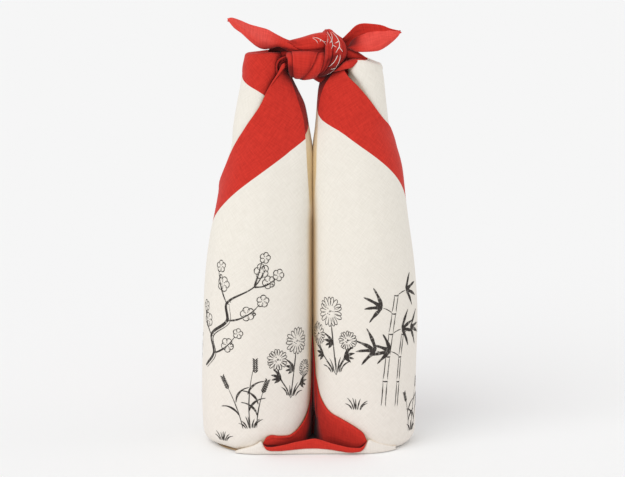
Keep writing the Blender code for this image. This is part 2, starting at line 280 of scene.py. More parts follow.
# a roll's soft troughs, from one place to another: degrees round it and height, at the
# start and at the end, then width and depth
CREASES = {
    -1.0: (
        (30, 262, 60, 215, 5, 0.5), (70, 214, 60, 150, 9, 0.5), (120, 190, 100, 130, 8, 0.35),
        (10, 60, 60, 100, 7, 0.3), (70, 4.5, 95, 12.5, 2.4, 1.4), (-120, 240, -60, 180, 7, 0.7),
        (-40, 120, -100, 60, 9, 0.5),
    ),
    1.0: (
        (80, 262, 50, 205, 6, 0.5), (110, 200, 120, 140, 8, 0.45), (60, 190, 50, 130, 9, 0.4),
        (20, 50, 70, 90, 8, 0.3), (50, 6, 90, 13.5, 2.4, 1.2), (-130, 230, -70, 170, 7, 0.6),
        (-30, 110, -90, 70, 9, 0.5),
    ),
}


def new_piece(name, points, flats, faces):
    """A mesh object from points about the seam, each with its place on the flat cloth."""
    mesh = bpy.data.meshes.new(name)
    points = (np.asarray(points) + np.array([SEAM_X, 0.0, 0.0])) * MM
    mesh.from_pydata(points.tolist(), [], np.concatenate(faces).tolist())
    flats = np.concatenate([np.asarray(flats), np.zeros((len(flats), 1))], axis=1) * MM
    mesh.attributes.new("flat", "FLOAT_VECTOR", "POINT").data.foreach_set("vector", flats.ravel())
    mesh.shade_smooth()
    piece = bpy.data.objects.new(name, mesh)
    bpy.context.scene.collection.objects.link(piece)
    return piece


class Sheet:
    """The growing mesh of the sheet, with what its colours and weave need to know."""

    def __init__(self):
        self.points, self.flats, self.faces, self.count = [], [], [], 0
        # the deep and glow layers carry painted shade and painted light for the material
        self.layers = {"dye": [], "deep": [], "glow": []}

    def grid(self, points, flat, dye, deep=0.0, glow=0.0, closed=False):
        """Add a grid of points (rows, columns, xyz) with its flat places.

        The dye is how far inside the red border a point lies, deep how much painted shade its
        folds give it, from 0 to 1, and glow how much painted light through the cloth it gets.
        """
        rows, columns = points.shape[:2]
        self.points.append(points.reshape(-1, 3))
        self.flats.append(flat.reshape(-1, 2))
        for layer, values in zip(self.layers.values(), (np.multiply(dye, MM), deep, glow)):
            layer.append(np.broadcast_to(values, (rows, columns)).reshape(-1))
        index = np.arange(rows * columns).reshape(rows, columns) + self.count
        if closed:
            index = np.concatenate([index, index[:, :1]], axis=1)
        quads = np.stack([index[:-1, :-1], index[:-1, 1:], index[1:, 1:], index[1:, :-1]], axis=-1)
        quads = quads.reshape(-1, 4)
        corners = points.reshape(-1, 3)[quads - self.count]
        first, second = [np.linalg.norm(corners[:, i] - corners[:, i + 2], axis=1) for i in (0, 1)]
        for halves, here in (((0, 1, 2, 0, 2, 3), first <= second),
                             ((0, 1, 3, 1, 2, 3), first > second)):
            self.faces.append(quads[here][:, halves].reshape(-1, 3))
        self.count += rows * columns

    def build(self, name):
        piece = new_piece(name, np.concatenate(self.points), np.concatenate(self.flats), self.faces)
        for label, values in self.layers.items():
            layer = piece.data.attributes.new(label, "FLOAT", "POINT")
            layer.data.foreach_set("value", np.concatenate(values))
        return piece


def near_line(around, z, start, run):
    """Share of the way along a line on a roll's wall, and distance from the line."""
    dx, dz = around * ARC - start[0], z - start[1]
    t = as_share((dx * run[0] + dz * run[1]) / float(run @ run))
    return t, np.hypot(dx - t * run[0], dz - t * run[1])


def crease_depth(side, around, z):
    """Depth of the soft troughs at a place on a roll, the same in all its turns."""
    total = np.zeros_like(around)
    for turn, low, to_turn, high, width, depth in CREASES[side]:
        run = np.array([(to_turn - turn) * ARC, high - low])
        t, gap = near_line(around, z, (turn * ARC, low), run)
        total += depth * np.sin(math.pi * np.clip(t, *CREASE_ENDS)) * bell(gap, width)
    return total


def slack(seed, turn, z):
    """Slow, uneven swell of the wound cloth."""
    a = np.radians(turn)
    return sum(swell * np.sin(waves * a + z / rise + part * seed)
               for swell, waves, rise, part in SLACK)


def foot_inset(foot, around, z):
    """How far a roll's foot draws in, in a direction and at a height above the floor."""
    away = np.minimum(np.abs(around), 90.0)
    deep = (foot.side + (foot.corner - foot.side) * smooth(0.0, FOOT_CORNER, away)
            + (foot.front - foot.corner) * smooth(FOOT_CORNER, 90.0, away))
    rise = as_share(1 - z / BASE_ROUND)
    return deep * (1 - np.sqrt(1 - rise**2))


def fuller(cosine, z):
    """The power that a roll's section is rounded with, lower beside the seam."""
    return 1 - SEAM_FULL * smooth(0.0, SEAM_FULL_TO, -cosine) * (1 - smooth(*FULL_TO, z))


def roll_heights(roll):
    """Heights of the rows of a roll's wall."""
    top = roll.rim - RIM_ROUND
    return np.concatenate([
        [BASE_ROUND * (1 - math.cos(math.radians(degrees))) for degrees in BASE_ROWS],
        np.arange(BASE_ROUND, RIM_ROWS_FROM, ROW_RISE),
        np.linspace(RIM_ROWS_FROM, top, int((top - RIM_ROWS_FROM) / RIM_ROW_RISE) + 1)])


def roll_columns(folds, ends, width):
    """Distances from the hem round the roll in each row, with each column's inset.

    The turned-under hem comes first.  The same columns lie at the pressed fold in
    every row, and finer ones reach once round the roll.
    """
    coarse = int((width - FINE_REACH) / COARSE_STEP) + 2
    rows = [np.concatenate([
        [row[0] for row in HEM_TURNED], np.linspace(HEM_END, fold, TO_FOLD),
        np.linspace(fold + FOLD_SNAP, end, PAST_FOLD, endpoint=False),
        np.linspace(end, width, coarse)])
        for fold, end in zip(np.maximum(folds, FOLD_NEAREST), ends)]
    inset = [row[1] for row in HEM_TURNED] + [0.0] * (TO_FOLD + PAST_FOLD + coarse)
    return np.array(rows), np.array(inset)


def fold_turn(roll, heights):
    """Degrees round a roll at which its pressed fold lies, at each height."""
    outer, inner = roll.loose.read("outer inner", heights)
    fold_x, fold_up = roll.folds.read("x height", heights)
    share = (fold_x - (outer + inner) / 2) / ((outer - inner) / 2 + fold_up)
    return np.degrees(np.arccos(np.clip(share, -FOLD_MOST, FOLD_MOST)))


# a roll's cloth before it is shaped: by row its height, the hem's turn, the radius and the
# fold's turn; by point its distance from the hem, how far the hem is turned under there,
# its height, its turn, turns from the hem, and its turn between -180 and 180
Winding = namedtuple("Winding", "heights start radius ridge reach inset z turn part around")
# the outer turns of a roll as they were laid, for the print to follow
Wall = namedtuple("Wall", "roll points heights reach start radius")


def wound(roll):
    """The cloth of a roll, wound from its hem inwards."""
    heights = roll_heights(roll)
    width = CLOTH_SIDE / MM * math.sqrt(2) - roll.rim - TIED
    start, ridge = roll.hem.read("turn", heights), fold_turn(roll, heights)
    outer, inner, depth = roll.loose.read(SIZES, heights)
    radius = outer * 0.25 - inner * 0.25 + depth * 0.5
    folds = np.radians(ridge - start) * radius
    reach, inset = roll_columns(folds, 2 * math.pi * radius + PAST_ROUND, width)
    start, radius, ridge = start[:, None], radius[:, None], ridge[:, None]
    turn = start + np.degrees(reach / radius)
    return Winding(heights, start, radius, ridge, reach, inset, heights[:, None] + 0 * reach,
                   turn, (turn - start) / 360.0, wrapped(turn))


def stand_off(roll, cloth, inner, snug):
    """How far the points of a roll's cloth stand off its section."""
    z, part, gap = cloth.z, cloth.part, cloth.around - cloth.ridge
    seamward = np.maximum(-np.cos(np.radians(cloth.turn)), 0.0)
    pressed = seamward**2 * as_share(1 - inner / PRESSED_GAP)
    lift = HEM_LIFT * bell(np.maximum(cloth.reach, 0.0), HEM_REACH) - cloth.inset
    relief = (slack(roll.seed, cloth.turn, z) - crease_depth(roll.side, cloth.around, z)
              - groove(roll.side, cloth.around, z))
    tent = np.where(gap < 0, 1 + gap / FOLD_FRONT, 1 - gap / (180.0 - cloth.ridge))
    hollow = SEAM_FOOT * bell(z, SEAM_FOOT_HIGH) * seamward**SEAM_FOOT_POWER
    return (lift - PITCH * (part - pressed * np.minimum(part, 1.0))
            - foot_inset(roll.foot, cloth.around, z) - hollow
            + np.maximum(roll.folds.read("height", z) * tent, 0.0) * (1 - snug)
            + relief * (1 - pressed) * smooth(0.0, RELIEF_FROM, z))


def roll_wall(roll, cloth):
    """Points of a roll's wall, drawn together behind its folds and drooping at its mouth."""
    z, gap, angle = cloth.z, cloth.around - cloth.ridge, np.radians(cloth.turn)
    snug = smooth(*SNUG_PART, cloth.part)
    sizes = zip(roll.loose.read(SIZES, z), roll.tight.read(SIZES, z))
    outer, inner, depth = [loose + (tight - loose) * snug for loose, tight in sizes]
    off = stand_off(roll, cloth, inner, snug)
    x = (outer + inner) / 2 + ((outer - inner) / 2 + off) * np.cos(angle)
    behind = as_share(gap / (180.0 - cloth.ridge)) * (cloth.around > 0)
    behind = behind * (1 - smooth(*SEAL_TO, z))
    x = x + (np.minimum(inner, x) - x) * smooth(0.0, SEAL_REACH, behind) * (1 - snug)
    bulk = np.abs(np.sin(angle))**fuller(np.cos(angle), z)
    y = -(depth + off) * np.sign(np.sin(angle)) * bulk
    back = smooth(0.0, 1.0, -np.sin(angle)) * smooth(DROOP_BACK, 0.0, np.cos(angle))
    droop = np.maximum(roll.droop * smooth(0.0, 1.0, np.cos(angle)), roll.back_droop * back)
    droop = droop * as_share((z - DROOP_FROM) / (roll.rim - DROOP_FROM))**DROOP_POWER
    return np.stack([roll.side * x, y, z - droop], axis=-1)


def wall_colours(roll, cloth):
    """The dye of a roll's wall, its painted shade behind its folds, and its painted light there."""
    inside = (cloth.around - cloth.ridge > WALL_FROM) * (cloth.around > 0) * (cloth.part < 1)
    inside = inside * as_share(roll.folds.read("height", cloth.z))
    dye = roll_dye(roll, cloth.turn, cloth.z, cloth.radius) - roll.notch * inside
    shade = WALL_SHADE + (1 - WALL_SHADE) * TOP_SHADE * smooth(*TOP_SHADE_FROM, cloth.z)
    # painted light: a tan glow on the cream walls behind the folds
    glow = inside * (dye <= 0) * smooth(*GLOW_TO, cloth.z)
    glow = glow * (1 - GLOW_FADE * smooth(*SEAL_TO, cloth.z))
    return dye, inside * np.where(dye > 0, shade, 0.0), glow


def roll_sheet(sheet, roll):
    """One roll of the sheet, from its hem to its last hidden turn, with its gathered top."""
    cloth = wound(roll)
    wall = roll_wall(roll, cloth)
    gather = gathered_top(roll, wall[-1], cloth.turn[-1], cloth.part[-1])
    top_z = roll.rim + np.linspace(*LEAD_LONG, len(gather))
    flat_z = np.concatenate([cloth.heights, top_z])[:, None]
    run = cloth.reach + np.radians(cloth.start) * YARN_RADIUS
    run = np.concatenate([run, np.repeat(run[-1:], len(gather), axis=0)])
    flat = np.stack([run - flat_z, run + flat_z], axis=-1) / math.sqrt(2)
    # painted shade on the gathered tops beside the knot
    under = GATHER_SHADE * (1 - smooth(*GATHER_TO, np.abs(gather[:, :, 0])))
    tops = (roll.red_to - gather[:, :, 0] * roll.side, under, 0 * under)
    layers = [np.concatenate(pair) for pair in zip(wall_colours(roll, cloth), tops)]
    sheet.grid(np.concatenate([wall, gather]), flat, *layers)
    first = len(HEM_TURNED)
    return Wall(roll, wall[:, first:], cloth.heights, cloth.reach[:, first:],
                cloth.start[:, 0], cloth.radius[:, 0])


def roll_dye(roll, turn, z, radius):
    """Millimetres inside the red border, for each place of a roll's wall."""
    past = np.radians(turn - roll.border.read("turn", z)) * radius
    border = (BORDER - past) * math.sin(math.radians(45))
    if roll.side > 0:
        return border
    line = RED_MOUTH - RED_MOUTH_FALL[0] * wrapped(turn) / RED_MOUTH_FALL[1]
    return np.maximum(border, (z - line) * RED_MOUTH_SLANT)


def gathered_top(roll, rim, turn, part):
    """Rows of cloth over the mouth's rim and into the knot, drawn up in pleats."""
    lead, angle = roll.lead, np.radians(turn)
    centre = np.array([roll.side * (rim[:, 0] * roll.side).mean(), 0.0, 0.0])
    rows = []
    for degrees in RIM_ROWS:
        a = math.radians(degrees)
        shrink = 1 - RIM_ROUND * (1 - math.cos(a)) / RIM_WIDE
        row = centre + (rim - centre) * np.array([shrink, shrink, 0.0])
        row[:, 2] = rim[:, 2] + RIM_ROUND * math.sin(a) - PITCH * part * math.sin(a)
        rows.append(row)
    edge = rows[-1]
    wide, tall = lead.wide - LEAD_TAPER * part, lead.tall - LEAD_TAPER * part
    neck = np.stack([np.full_like(angle, roll.side * lead.x), lead.y - wide * np.sin(angle),
                     lead.z + tall * np.cos(angle)], axis=-1)
    for s in LEAD_ROWS:
        row = edge + (neck - edge) * s
        pleat = PLEAT_DEEP * math.sin(math.pi * min(s, PLEAT_FULL))
        pleat = pleat * np.sin(LEAD_PLEATS * angle + 3 * roll.seed)
        row[:, 2] += pleat * np.maximum(np.cos(angle) * s + (1 - s), 0.0)
        row[:, 1] -= pleat * np.sin(angle) * s
        rows.append(row)
    return np.array(rows)


# --------------------------------------------- the pockets between the feet
# along the seam's foot, by distance from it: the hem, the lip's top edge and
# its lowest line, and how far out the lip stands
POCKET = "x top lip low out"
FRONT_POCKET = Table(
    POCKET,
    (-37.7, 8.4, 8.2, 8, 43), (-36.6, 11, 7.4, 6.2, 44.3), (-34.6, 13.2, 6.6, 4.6, 45),
    (-31, 14.3, 6.6, 3.8, 45.3), (-25.2, 13.4, 7.4, 3.8, 45.2), (-18.7, 13.1, 8.8, 4.2, 44.8),
    (-13.3, 15.4, 10.1, 4.7, 44.4), (-8.5, 20, 11, 5.1, 44.1), (-4.7, 26, 11.8, 5.3, 43.9),
    (-2.5, 33.6, 12.2, 5.3, 43.8), (-1.4, 43, 12.4, 5.3, 43.7), (-0.7, 55, 12.5, 5.3, 43.7),
    (0, 66, 12.6, 5.3, 43.6), (1.4, 61.5, 12.7, 5.3, 43.6), (3.5, 51.6, 12.4, 5.3, 43.6),
    (5.2, 43.6, 12, 5.2, 43.6), (7.9, 37.4, 11.2, 5, 43.7), (11.1, 32.8, 10.1, 4.8, 43.8),
    (14.9, 29.6, 9, 4.3, 43.9), (20.3, 27, 7.6, 3.4, 44.1), (28.9, 22.5, 5.8, 2.2, 44.3),
    (35.4, 18.4, 5.4, 2.7, 43.9), (39, 15.2, 7.2, 4.9, 43), (41.4, 10.2, 10, 9.8, 41.8))
BACK_POCKET = Table(
    POCKET,
    (-31, 8.2, 8, 7.8, 43), (-28, 12, 6.8, 4.2, 44), (-20, 16, 8, 4.2, 43.8),
    (-12, 21, 9.4, 4.6, 43.6), (-6, 29, 10.4, 5, 43.4), (-2.4, 40, 11, 5.2, 43.3),
    (0, 52, 11.2, 5.2, 43.2), (2.4, 40, 11, 5.2, 43.2), (6, 29, 10.4, 5, 43.1),
    (12, 21, 9.4, 4.6, 43), (20, 16, 8, 4.2, 42.8), (27, 12.4, 6.8, 4.2, 42.6),
    (30, 8.2, 8, 7.8, 41.4))
POCKET_END = 3.2  # length of a pocket's rounded ends
POCKET_DEEP = 5.0  # how near the middle the pocket's walls run in
POCKET_FLOOR = 0.1  # share of the lip's height at which the floor behind it lies
# a pocket's cloth from the lip's foot over its top: how far out of the lip's line, share
# of its height, and how far above that
LIP_PATH = ((-0.8, 0.0, -0.7), (-0.1, 0.0, -0.2), (0.5, 0.14, 0.0), (0.8, 0.4, 0.0),
            (0.8, 0.66, 0.0), (0.45, 0.9, 0.0), (-0.1, 1.0, 0.0), (-0.7, 0.96, 0.0))
# behind it, how far out of its line and above its top, and above the floor behind it
LIP_BACK, FLOOR_FRONT = (-1.2, -0.9), ((-1.3, 1.0), (-1.7, 0.2))
# the floor's back and the wall's foot: how far out of the wall, and above the floor
FLOOR_BACK, WALL_FOOT = ((1.2, 0.1), (0.7, 0.8)), (0.5, 0.8)
RIM_INNER = (-1.3, 0.2)  # the hem's inner side: how far out of the wall, and above its top
# the hem round the pocket's edge: how far out of the wall, and how far down in widths of it
RIM_PATH = ((0.55, 0.95), (0.75, 0.75), (0.9, 0.5), (0.8, 0.2), (0.3, 0.03), (-0.5, 0.0))
RIM = 2.3  # width of the hem along a pocket's edge
RIM_MOST = 0.4  # and the most of the pocket's height that it takes
WALL_ROWS = 16  # points up the pocket's wall
# places across a pocket, and the step between its columns up to each
POCKET_STEPS = ((-6.0, 1.0), (-1.6, 0.4), (2.0, 0.16), (7.0, 0.36))
POCKET_STEP = 1.0  # and the step past them
END_COLUMNS, END_GAPS = 9, (1.0, 0.4)  # columns of each rounded end, and gaps past and before
POCKET_FLAT, STRIP_FLAT = (700.0, 500.0), (700.0, 900.0)  # where they lie on the flat cloth
CAVITY_DEEP = 11.0  # the hollow between the feet behind the front lip
CAVITY_WIDE = 0.9  # its width, as a share of how far the feet draw back
CAVITY_LEAST = 0.01  # and the least that it comes to
CAVITY_CURVE = 1.5  # how its walls curve in
CAVITY_X = 2.1  # how far right of the seam they meet at most
CAVITY_X_AT = (27.0, 17.0)  # the height where they do, and the reach of this
# painted shade, darkest in the hollow between the feet, on the pockets' walls and behind the lip:
CAVITY_DARK = 1.3  # half width of the dark between its walls
CAVITY_LOW = 14.0  # how much wider it is at the floor
CAVITY_RISE = 9.0  # and how quickly this dies away above it
CAVITY_RED = 0.55  # how closed in its outer part is
POCKET_SHADE = 0.2  # how closed in the pocket's walls are
POCKET_LIGHT = 9.0  # and how far in from the hem this is reached
LIP_SHADE = 0.45  # how closed in the cloth is behind the lip
SLIT_REACH = (15.0, 6.0)  # and how far in from its left and right ends it is closest
SLIT_SHADE = 0.8  # how closed in the wall is above those ends
SLIT_TALL = 1.3  # and how far up this shows
POCKET_LONG = 40.0  # length of its section on the flat cloth
GROOVE_DEPTH = 1.2  # how far the cloth outside draws in beside a pocket's hem
GROOVE_WIDTH = 4.2  # and how far out from it
PLAIN_RED, PLAIN_CREAM = 20.0, -20.0  # dye of cloth that is far from the border's edge


def foot_oval(roll, row=1):
    """Middle and half width of a roll's section at its foot."""
    outer, inner = roll.loose.outer[row], roll.loose.inner[row]
    return (outer + inner) / 2, (outer - inner) / 2


def roll_front(x):
    """Distance in front of the seam's plane of the rolls' feet, at places across them."""
    front = np.zeros_like(x)
    for roll in ROLLS:
        middle, half = foot_oval(roll)
        away = x * roll.side - middle
        power = fuller(np.clip(away / half, -1.0, 1.0), roll.loose.z[1])
        here = roll.loose.depth[1] * np.sqrt(as_share(1 - (away / half)**2))**power
        front = np.maximum(front, np.where(x * roll.side >= 0, here, 0.0))
    return front


def pocket_columns(rows):
    """Places across a pocket where its columns lie, closest together about the seam."""
    first, last = rows.x[0], rows.x[-1]
    ends = POCKET_END * (1 - np.cos(np.linspace(0.0, math.pi / 2, END_COLUMNS)))
    spans, start = [first + ends], first + POCKET_END + END_GAPS[0]
    for stop, step in POCKET_STEPS + ((last - POCKET_END - END_GAPS[1], POCKET_STEP),):
        spans.append(np.arange(start, stop, step))
        start = stop
    return np.concatenate(spans + [last - ends[::-1]])


def pocket_section(x, top, lip, low, out):
    """How far out and up a pocket's points lie, from its lip's foot to the hem's inner side."""
    back = np.maximum(roll_front(x), POCKET_DEEP)
    rim = np.minimum(RIM * np.sqrt(1 + np.gradient(top, x)**2), RIM_MOST * (top - low))
    floor = low + POCKET_FLOOR * (lip - low)
    path = [(out + bulge, low + part * (lip - low) + rise) for bulge, part, rise in LIP_PATH]
    path.append((out + LIP_BACK[0], lip + LIP_BACK[1]))
    path += [(out + bulge, floor + rise) for bulge, rise in FLOOR_FRONT]
    path.append(((out + back) / 2, floor))
    path += [(back + bulge, floor + rise) for bulge, rise in FLOOR_BACK]
    foot = floor + WALL_FOOT[1]
    path += [(back + WALL_FOOT[0], foot + (top - rim - foot) * part)
             for part in np.linspace(0.0, 1.0, WALL_ROWS)[1:]]
    path += [(back + bulge, top - part * rim) for bulge, part in RIM_PATH]
    path.append((back + RIM_INNER[0], top + RIM_INNER[1]))
    return [np.array(column) for column in zip(*path)]


def pocket_shade(x, z, top, lip, away, inner, behind):
    """Painted shade on a pocket's points: most by the seam, at both ends and behind the lip."""
    deep = bell(away, CAVITY_DARK + CAVITY_LOW * np.exp(-z / CAVITY_RISE))
    deep = (CAVITY_RED * deep + (1 - CAVITY_RED) * deep**4) * inner
    slit = 1 - smooth(0.0, SLIT_REACH[0], x - x[0] - POCKET_END)
    slit = slit + 1 - smooth(0.0, SLIT_REACH[1], x[-1] - x - POCKET_END)
    above = as_share(1 - (z - lip) / SLIT_TALL) * inner
    for shade in ((LIP_SHADE + (1 - LIP_SHADE) * slit) * behind, SLIT_SHADE * slit * above,
                  POCKET_SHADE * inner * smooth(0.0, POCKET_LIGHT, top - z)):
        deep = np.maximum(deep, shade)
    return deep


def pocket(sheet, rows, facing):
    """The hem's opening between the feet: a lip in front, and walls running in to the seam."""
    x = pocket_columns(rows)
    top, lip, low, out = rows.read("top lip low out", x, firm=True)
    y, z = pocket_section(x, top, lip, low, out)
    # its parts: from the middle of the floor up to the hem, and the floor behind the lip
    place, middle = np.arange(len(y))[:, None] - len(LIP_PATH), 1 + len(FLOOR_FRONT)
    inner, behind = place >= middle, (place >= 0) & (place <= middle + len(FLOOR_BACK))
    # the hollow between the feet
    hole = CAVITY_WIDE * SEAM_FOOT * bell(z, SEAM_FOOT_HIGH) + CAVITY_LEAST
    away = np.abs(x - CAVITY_X * bell(z - CAVITY_X_AT[0], CAVITY_X_AT[1]))
    y = y - CAVITY_DEEP * as_share(1 - away / hole)**CAVITY_CURVE * inner
    # painted shade on the pocket
    deep = pocket_shade(x, z, top, lip, away, inner, behind)
    # both ends round off and close on the hem's last points
    reach = np.minimum(x - x[0], x[-1] - x)
    close = np.sqrt(as_share(1 - (1 - as_share(reach / POCKET_END))**2))
    end = np.where(x < 0, 0, -1)
    y = rows.out[end] + (y - rows.out[end]) * close
    z = rows.top[end] + (z - rows.top[end]) * close
    points = np.stack([x + 0 * y, -facing * y, z], axis=-1)
    flat_v = np.linspace(0.0, POCKET_LONG, len(y))[:, None] + 0 * y
    flat = np.stack([x + 0 * y + POCKET_FLAT[0], flat_v + POCKET_FLAT[1] * facing], axis=-1)
    way = int(facing)
    sheet.grid(points[::way], flat[::way], PLAIN_RED, deep[::way])


def groove(side, around, z):
    """How far a roll's cloth draws in beside the pockets' hems."""
    total = np.zeros_like(around)
    middle, half = foot_oval(ROLLS[int(side > 0)])
    for rows, facing in ((FRONT_POCKET, 1.0), (BACK_POCKET, -1.0)):
        line = [(math.degrees(math.acos(np.clip((x * side - middle) / half, -1.0, 1.0))), top)
                for x, top in zip(rows.x, rows.top) if x * side >= 0]
        line = np.array(line) * np.array([ARC * facing, 1.0])
        near = np.full(around.shape, 1e9)
        for start, stop in zip(line[:-1], line[1:]):
            near = np.minimum(near, near_line(around, z, start, stop - start)[1])
        total += GROOVE_DEPTH * bell(near, GROOVE_WIDTH)
    return total


# the strip of cloth across the feet: by distance from the seam, its upper edge and how
# proud of the rolls it lies
STRIP = Table(
    "x top proud",
    (-58.5, 1), (-54.4, 2.9, 0.5), (-47.3, 5.4, 1.3), (-42, 7.8, 1.9), (-39, 9.8, 1.9),
    (-37, 7.4, 1.6), (-33, 4.6, 1.6), (-10, 5.8, 1.4), (5, 6, 1.4), (18, 4.4, 1.4), (30, 3.2, 1.4),
    (38, 5, 1.4), (40.6, 8.6, 1.6), (43, 10.6, 1.8), (46, 9.2, 1.2), (52, 6.8, 0.3),
    (58, 4.6, -0.8), (64, 2.6, -2.4))
STRIP_STEP = 1.0  # step along it
STRIP_LEVEL = np.array([-42.1, 40.2])  # the rolls' fronts, between which it runs straight
# its section: how far out of its line, share of its height, and how far above that
STRIP_PATH = ((-2.6, 1.0, 0.5), (-1.0, 1.0, 0.1), (-0.2, 1.0, -0.5), (0.0, 0.66, 0.0),
              (0.0, 0.36, 0.0), (-0.3, 0.12, 0.2), (-1.2, 0.0, 0.14), (-4.0, 0.0, 0.1))
SOLE_ENDS = (-75.5, 69.5)  # how far the sole reaches to the left and the right
SOLE_HALF = 38.6  # its half depth, front to back
SOLE_GRID = (36, 70)  # its points that way, and along it
SOLE_FLAT = 1300.0  # where it lies on the flat cloth
SOLE_FOLDS = 14.0  # folds that fan out under the feet
SOLE_HEART = 24.0  # and how far past the middle the heart of each fan lies
SOLE_HIGH = (0.5, 0.25)  # height of the sole, and of the folds in it


def strip(sheet, facing):
    """Cloth drawn across from foot to foot, its ends dying away on the rolls."""
    x = np.arange(STRIP.x[0], STRIP.x[-1] + 0.01, STRIP_STEP)
    top, proud = STRIP.read("top proud", x, firm=True)
    level = np.interp(x, STRIP_LEVEL, roll_front(STRIP_LEVEL))
    between = (x > STRIP_LEVEL[0]) & (x < STRIP_LEVEL[1])
    front = np.where(between, level, roll_front(x)) + proud
    y = np.array([front + out for out, _, _ in STRIP_PATH])
    z = np.array([top * share + rise for _, share, rise in STRIP_PATH])
    z = np.minimum(z, np.maximum(top + 0.5, 0.1))
    points = np.stack([x + 0 * y, -facing * y, z], axis=-1)
    flat = np.stack([x + 0 * y + STRIP_FLAT[0], z + STRIP_FLAT[1]], axis=-1)
    way = -int(facing)
    sheet.grid(points[::way], flat[::way], PLAIN_CREAM)


def sole(sheet):
    """The cloth under both feet, nearly flat, its folds fanning from the middle."""
    share, x = [np.linspace(-1.0, 1.0, count) for count in SOLE_GRID]
    x, share = np.where(x < 0, -x * SOLE_ENDS[0], x * SOLE_ENDS[1]), share[:, None]
    half = np.full_like(x, SOLE_HALF)
    for roll, end in zip(ROLLS, SOLE_ENDS):
        middle = foot_oval(roll, 0)[0]
        away = (x * roll.side - middle) / (abs(end) - middle)
        outline = SOLE_HALF * np.sqrt(np.clip(1 - away**2, 0.001, 1.0))
        half = np.where(away > 0, np.minimum(half, outline), half)
    y = share * half
    fan = np.sin(SOLE_FOLDS * np.arctan2(y, np.abs(x)[None, :] + SOLE_HEART))
    z = SOLE_HIGH[0] + SOLE_HIGH[1] * fan * (1 - share**8) + 0 * y
    points = np.stack([x + 0 * y, y, z], axis=-1)
    sheet.grid(points, np.stack([x + 0 * y, y + SOLE_FLAT], axis=-1), PLAIN_CREAM)


# ------------------------------------------------------- strands of the knot
UP, ACROSS = (0.0, 0.0, 1.0), (1.0, 0.0, 0.0)
RING_STEP = 1.2  # distance between a strand's rings
POINT_STEP = 0.42  # and between the points round one
STRAND_POINTS = (16, 120)  # the fewest and the most of these
STRAND_FLAT = (900.0, 50.0)  # where it lies on the flat cloth, and step from one to the next
STRAND_POWERS = (0.85, 0.75)  # what its section is rounded with, across and through it
# its unevenness: height, waves round it and along it, and share of the seed; the fine one
# is two such waves through each other
STRAND_SWELL, FINE_HEIGHT = ((0.03, 3, 7, 1), (0.02, 5, -9, 0)), 0.012
FINE_WAVES = ((19, 5, 1), (2, 7, 0))
CREASE_ACROSS = 0.65  # how much of a crease's depth narrows the strand
LAP_REACH = 30.0  # degrees over which a lapping fold comes back down
# painted shade in the strands' creases:
CREASE_SHADE = 1.1  # how closed in a strand's creases are, for each part of their depth
CREASE_NEAR = 1.6  # degrees over which this fades under the lapping fold
CREASE_FAR = 6.0  # and away from it
# painted shade where the knot's folds close in on each other: the middle's x and z, reach
# across and up, lean in degrees, and how much shade is painted
NOOKS = (
    (-17, 286, 4.6, 6, 0, 0.5), (-16.6, 291.4, 1.6, 3.4, 0, 0.3), (16, 299, 6.4, 1.5, 30, 0.34),
    (14, 293, 5.6, 4, 30, 0.2), (11, 286, 8, 2.4, 28, 0.75), (26, 296.6, 5, 1.6, -6, 0.3),
    (-23, 304, 7, 2, 0, 0.7), (-13.6, 309.2, 5, 1.4, -20, 0.34),
)
# the most painted shade that nooks give, and that anything gives
NOOK_MOST, SHADE_MOST = 0.7, 0.9  # the most that nooks close it in, and that anything does

